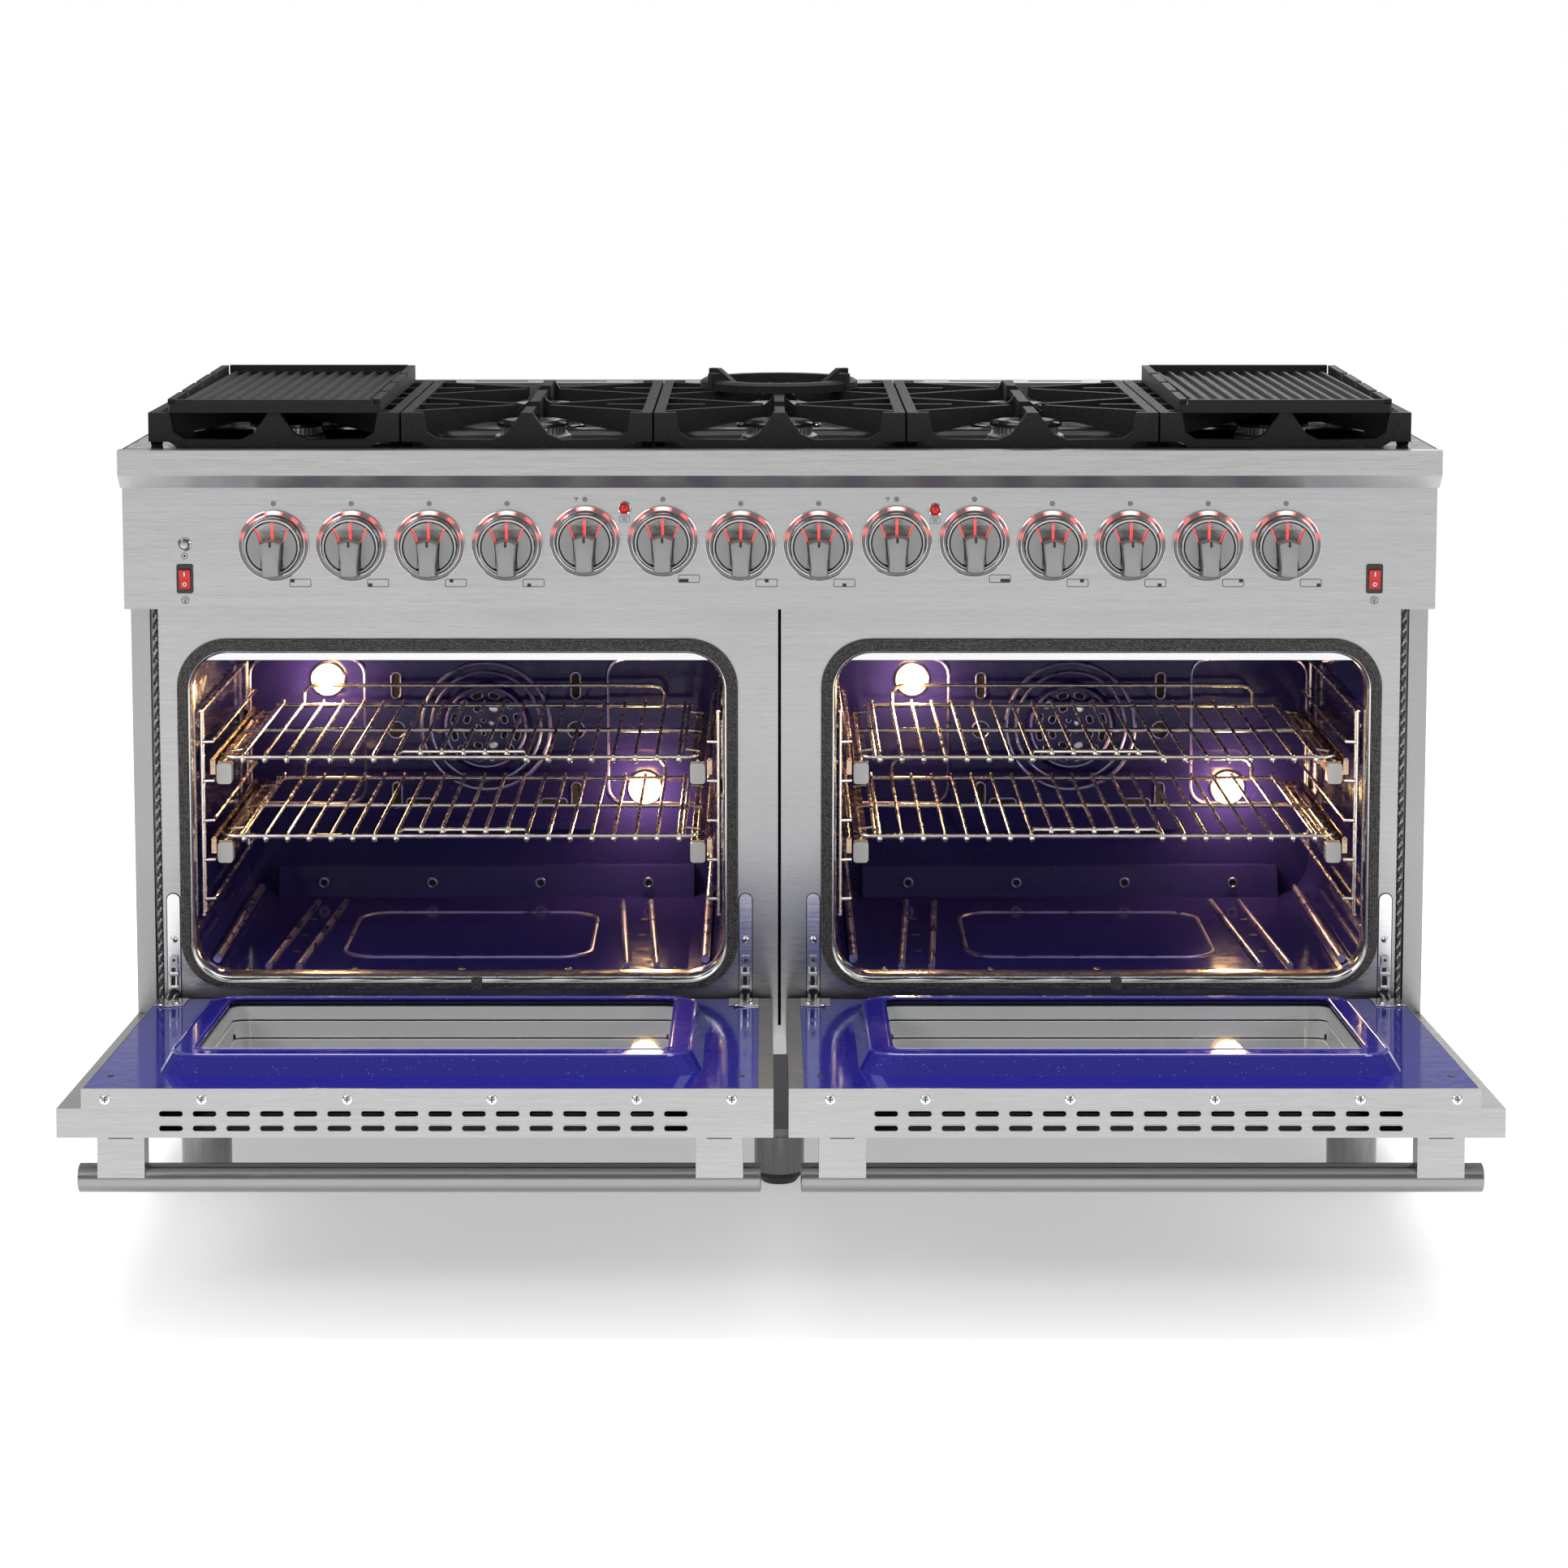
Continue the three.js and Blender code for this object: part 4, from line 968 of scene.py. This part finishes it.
RACK_FRONT, RACK_DEPTH = 40, 395
WIRE_PITCH = 25.85
NOTCH_BACK = 42
for sign, side in SIDES.items():
    for level, z in RACK_ZS.items():
        rack = Shape()
        centre = sign * OVEN_X
        front = RACK_FRONT
        rear = RACK_FRONT + RACK_DEPTH - 4
        for i in range(-10, 11):
            x = centre + i * WIRE_PITCH
            start = front + NOTCH_BACK if abs(i) <= 2 else front
            wire = [(x, start - 2, z - 2.6), (x, start, z + 1.6), (x, start + 8, z + 2.4)]
            wire += [(x, rear - 4, z + 2.4), (x, rear, z + 5)]
            rack.tube(wire, 2.3)
            ball = [(0, -4), (2.8, -3), (3.9, 0), (2.8, 3), (0, 4)]
            rack.turned(ball, (x, start - 1.8, z - 2.8), "z", 0, 10)
        for y in (front, (front + rear) / 2, rear - 6):
            rack.tube([(centre - 268, y, z), (centre + 268, y, z)], 3)
        notch = ((-80, front), (-73, front + NOTCH_BACK), (73, front + NOTCH_BACK), (80, front))
        rack.tube([(centre + u, y, z) for u, y in notch], 2.8)
        bend = ((-232, rear - 8, 0), (-232, rear, 15), (-226, rear, 23), (-218, rear, 25))
        stop = [(centre + u, y, z + up) for u, y, up in bend]
        stop += [(centre - u, y, z + up) for u, y, up in reversed(bend)]
        rack.tube(stop, 2.8)
        for edge in SIDES:
            inner, outer = centre + edge * 264, centre + edge * 288
            loop = [(inner, front, z), (inner + edge * 10, front - 1, z + 1)]
            loop += [(outer - edge * 6, front + 4, z + 2), (outer, front + 14, z + 1)]
            rack.tube(loop, 2.3)
            rack.tube([(inner, front, z), (inner, rear - 6, z)], 2.4)
            slide_x = centre + edge * 281
            rack.block((slide_x - 8, front + 1, z - 20), (slide_x + 8, rear, z - 5), 1)
            rack.tube([(slide_x, front + 2, z - 4.6), (slide_x, rear, z - 4.6)], 2, 1)
            end = rounded(18, 25, 4, (slide_x, z - 19), 4)
            rack.prism(end, front - 4, front + 12, "y", 2)
            for y in (front + 60, front + 200, front + 340):
                rack.tube([(centre + edge * 262, y, z), (centre + edge * 283, y, z - 3)], 1.8)
        name = "rack_%s_%s" % (side, level)
        build(rack, name + "_look", [RACK_WIRE_WARM_CAST, BRONZE, LIGHT_BLOCK], name, 0.5, (name,))

# ---- doors ----

WINDOW = (375, 235.5)
HANDLE_Y, HANDLE_Z, HANDLE_R = -71, 449, 15.5
DOOR_END_Z = 492
END_SCREWS = (51.6, 151.3, 303.1, 454.8, 607.4, 708.9)
BAND_FLOORS = (-12, 8.5, 29)
VENT_ROWS, VENTS, VENT_PITCH = (-9, 6.4), 16, 35.3
HINGE_REACH = 338
LINK_OFFSETS = (-4.6, 3)
# Rolled edges of the raised inner panel: width, height, corner, centre height, depth, wire radius.
RIM_BEADS = ((555, 338, 35, 247.5, 52.4, 2.6), (514, 300, 14, 235.5, 53.3, 1.7))

for sign, side in SIDES.items():
    body = "door_" + side
    window = (sign * WINDOW[0], WINDOW[1])

    panes = Shape(door_frame)
    panes.prism(rounded(511, 297, 13, window, 5), 44.5, 48.5, "y", 0)
    walls = Shape(door_frame)
    outer = rounded(515, 301, 14, window, 5)
    opening = rounded(513, 299, 13, window, 5)
    walls.prism(opening, -16.5, -12.6, "y", 1)
    for number, low in enumerate(BAND_FLOORS):
        inset = 3 + 2.2 * (len(BAND_FLOORS) - 1 - number)
        inner = rounded(515 - 2 * inset, 301 - 2 * inset, 12, window, 5)
        walls.border(outer, inner, low, low + 18.4 - (3.5 if number == 2 else 0), "y", 0)
        # A thin near-black ring where two frames meet: painted shade in the gap.
        walls.border(outer, opening, low + 18.2, low + 20.6, "y", 2)
    # These screws are drawn all in the near-black painted shade.
    for x in (-1, 1):
        for y in (-4, 18):
            for z in (-100, 100):
                walls.screw((window[0] + x * 248, y, window[1] + z), "x", 3.5, 2, 2, -x)
    finishes = [PACK_GREY, DARK_GLASS, PAINTED_SHADE]
    build(walls, body + "_window_look", finishes, body, 0.3, ("door_window_" + side,))
    build(panes, body + "_inner_pane", [GLASS], body, 0.4)

    handle = Shape(door_frame)
    inner_end, outer_end = sorted((sign * 21, sign * 744))
    length = outer_end - inner_end
    bar = [(0, 0), (HANDLE_R - 1.6, 0), (HANDLE_R, 1.2)]
    bar += [(HANDLE_R, length - 1.2), (HANDLE_R - 1.6, length), (0, length)]
    handle.turned(bar, (inner_end, HANDLE_Y, HANDLE_Z), "x", 0, 48)
    for near, far in ((40, 90), (672, 722)):
        low, high = sorted((sign * near, sign * far))
        handle.block((low, -68, 437), (high, -19.3, 466), 1)
        handle.block((low + 12, -26, 466), (high - 12, -19.6, 466.6), 2)
    build(handle, body + "_handle_look", [HANDLE_STEEL, STEEL_X, DARK_STEEL], body, 1.2,
          ("door_handle_" + side,), smooth=30)

    trim = Shape(door_frame)
    for x in END_SCREWS:
        trim.screw((sign * x, 21.5, DOOR_END_Z), "z", 5.6, 0, 1)
    for y in VENT_ROWS:
        for i in range(VENTS):
            middle = (sign * (WINDOW[0] + (i - (VENTS - 1) / 2) * VENT_PITCH), y)
            rim = rounded(27.4, 8.4, 4.1, middle, 5)
            gap = rounded(24.6, 5.6, 2.7, middle, 5)
            trim.border(rim, gap, DOOR_END_Z - 0.6, DOOR_END_Z + 0.35, "z", 3)
    for reach in (42, 714):
        mark = rounded(7, 12, 3.4, (sign * reach, 425), 4)
        trim.prism(mark, 32, 33.1, "y", 1)
    for near in (24.5, 696):
        far = near + 35
        plate = [(near, -17), (far, -17), (far, 26), ((near + far) / 2, 34), (near, 26)]
        plate = [(sign * u, v) for u, v in plate]
        trim.prism(plate, 32.9, 34.2, "y", 2)
        trim.screw((sign * (near + 9), 34.2, 18), "y", 3.6, 0, 1, -1)
        trim.screw((sign * (far - 9), 34.2, 30), "y", 3.6, 0, 1, -1)
    for reach in (-HINGE_REACH, HINGE_REACH):
        for offset in LINK_OFFSETS:
            x = sign * OVEN_X + reach + offset
            trim.tube([(x, 36.4, -31), (x, 36.6, -16), (x, 33.6, -2)], 1.9, 5, 6)
    for width, height, corner, centre_z, y, wire in RIM_BEADS:
        trim.bead(rounded(width, height, corner, (window[0], centre_z), 8), y, wire, 4)
    build(trim, body + "_trim", [CHROME, INK_AND_PAINTED_SHADE, BRIGHT_STEEL, STEEL_X, ROLLED_BLUE, ZINC_ARM], body,
          0.3)

# ---- hinges, grooves and screws on the front ----

for sign, side in SIDES.items():
    hardware = Shape()
    for reach in (-HINGE_REACH, HINGE_REACH):
        x = sign * OVEN_X + reach
        outline = rounded(15, 129, 7.3, (x, 299.5), 6)
        # A near-black rim behind the plate, the dot and the hinge slot are painted shade.
        hardware.prism(rounded(17.2, 131.2, 8.4, (x, 299.5), 6), -0.5, -0.1, "y", 2)
        hardware.prism(outline, -1.6, -0.4, "y", 0)
        hardware.screw((x, -1.4, 309), "y", 4.4, 1, 2)
        hardware.prism(rounded(9, 12, 1.5, (x, 284), 3), -6, -1.4, "y", 3)
        hardware.prism(circle(2, (x, 285), 12), -6.3, -5.9, "y", 2)
        hardware.prism(rounded(10, 46, 2, (x, 252), 3), -2, -1.3, "y", 2)
        for offset in LINK_OFFSETS:
            link = [(x + offset, -2, 276), (x + offset, -4.8, 264), (x + offset, -5, 250)]
            hardware.tube(link, 1.8, 3, 6)
        for z, y in ((268, -3.8), (252, -4.2)):
            hardware.turned([(0, -5), (3.2, -5), (3.2, 5), (0, 5)], (x, y, z), "x", 3, 14)
    build(hardware, "hinge_set_" + side, [BRIGHT_STEEL, CHROME, INK_AND_PAINTED_SHADE, ZINC_ARM], "range", 0.3)

    cord = Shape()
    for strand in range(2):
        path = []
        steps = 360
        for i in range(steps + 1):
            angle = tau * i / 9 + pi * strand
            z = 171 + 537 * i / steps
            path.append((sign * 733 + 1.5 * cos(angle), 4 + 1.5 * sin(angle), z))
        cord.tube(path, 1.5, strand, 5)
    build(cord, "groove_cord_" + side, [CORD, BRAID], "range")

# ---- back of the range ----

fittings = Shape()
REAR_Y = 620
edge_screws = [(x, z) for x in range(-720, 721, 160) for z in (84, 880)]
edge_screws += [(x, z) for x in (-748, 748) for z in range(200, 861, 165)]
for x, z in edge_screws:
    fittings.screw((x, REAR_Y, z), "y", 4.6, 1, 2, -1)
for sign in SIDES:
    cover = rounded(420, 300, 12, (sign * OVEN_X, 480), 5)
    fittings.prism(cover, REAR_Y + 0.1, REAR_Y + 6, "y", 0)
    for dx in (-195, 195):
        for dz in (-135, 135):
            fittings.screw((sign * OVEN_X + dx, REAR_Y + 6, 480 + dz), "y", 4.6, 1, 2, -1)
    # Louvre openings are near-black patches of painted shade.
    for row in range(9):
        louvre = rounded(150, 7, 3.2, (sign * OVEN_X, 420 + row * 15), 4)
        fittings.prism(louvre, REAR_Y + 5.8, REAR_Y + 6.4, "y", 2)
        hood = [(sign * OVEN_X + reach, REAR_Y + 6.6, 424 + row * 15) for reach in (-78, 78)]
        fittings.tube(hood, 2.4)
inlet = [(0, 0), (17, 0), (17, 8), (13, 9)]
inlet += [(13, 24), (10, 24), (10, 6), (0, 6)]
fittings.turned([(r, -h) for r, h in inlet], (560, REAR_Y, 150), "y", 1, 36)
fittings.prism(rounded(110, 80, 6, (-560, 160), 4), REAR_Y + 0.1, REAR_Y + 20, "y", 0)
# The hole in the box's face is a near-black patch of painted shade.
fittings.prism(circle(12, (-560, 150), 24), REAR_Y + 19.8, REAR_Y + 20.6, "y", 2)
build(fittings, "back_fittings", [ZINC, ZINC_ARM, PAINTED_SHADE], "range", 0.8)

# ---- studio ----



def pale_floor():
    """A wide pale floor just under the feet, lit a little so that it stays white far away."""
    half = 30000
    slab = Shape(own_frame)
    slab.block((-half, -half, -20), (half, half, -0.5))
    mesh = bpy.data.meshes.new("floor")
    mesh.from_pydata([own_frame(*point) for point in slab.points], [], slab.faces)
    glow = {"Emission_Color": (1, 1, 1, 1), "Emission_Strength": 0.42}
    mesh.materials.append(plain("pale_floor", (0.85, 0.85, 0.85), 0.8, 0, **glow))
    floor_piece = placed("floor", mesh)


def studio_world():
    """Pale walls, a darker band above them and a bright ceiling, by the height of the view."""
    world = bpy.data.worlds.new("studio")
    world.use_nodes = True
    tree = world.node_tree
    place = tree.nodes.new("ShaderNodeTexCoord").outputs["Generated"]
    parts = tree.nodes.new("ShaderNodeSeparateXYZ")
    tree.links.new(place, parts.inputs[0])
    ramp = tree.nodes.new("ShaderNodeValToRGB")
    stops = ramp.color_ramp.elements
    stops[0].color = (1, 1, 1, 1)
    stops[1].color = (0.95, 0.95, 0.95, 1)
    for position, grey in ((0.1, 1), (0.15, 0.38), (0.55, 0.3), (0.72, 0.9)):
        stops.new(position).color = (grey, grey, grey, 1)
    tree.links.new(parts.outputs["Z"], ramp.inputs["Fac"])
    background = tree.nodes["Background"]
    background.inputs["Strength"].default_value = 1
    tree.links.new(ramp.outputs["Color"], background.inputs["Color"])
    bpy.context.scene.world = world


def area_light(name, place, target, size, power):
    """A soft box aimed at a point."""
    light = bpy.data.lights.new(name, "AREA")
    light.shape = "RECTANGLE"
    light.size, light.size_y = size
    light.energy = power
    made = placed(name, light, place)
    made.rotation_euler = (Vector(place) - Vector(target)).to_track_quat("Z", "Y").to_euler()


pale_floor()
studio_world()
area_light("key", (-3.2, -4.6, 3.4), (0, 0, 0.5), (2.4, 1.6), 90)
area_light("fill", (3.6, -4, 2.2), (0, 0, 0.5), (2, 1.6), 45)
area_light("top", (0, 0.2, 3.4), (0, 0, 0.5), (3.4, 1.8), 90)
area_light("rear", (1.5, 4.5, 2.8), (0, 0, 0.5), (2.4, 1.4), 30)

camera = bpy.data.cameras.new("camera")
camera.lens = 89
camera.shift_x = 0.011
camera.shift_y = -0.17
camera_piece = placed("camera", camera, (-0.015, -4.56, 1.3207))
camera_piece.rotation_euler = (radians(90 - 6.46), 0, 0)
scene = bpy.context.scene
scene.camera = camera_piece
scene.view_settings.view_transform = "Standard"
scene.view_settings.look = "None"
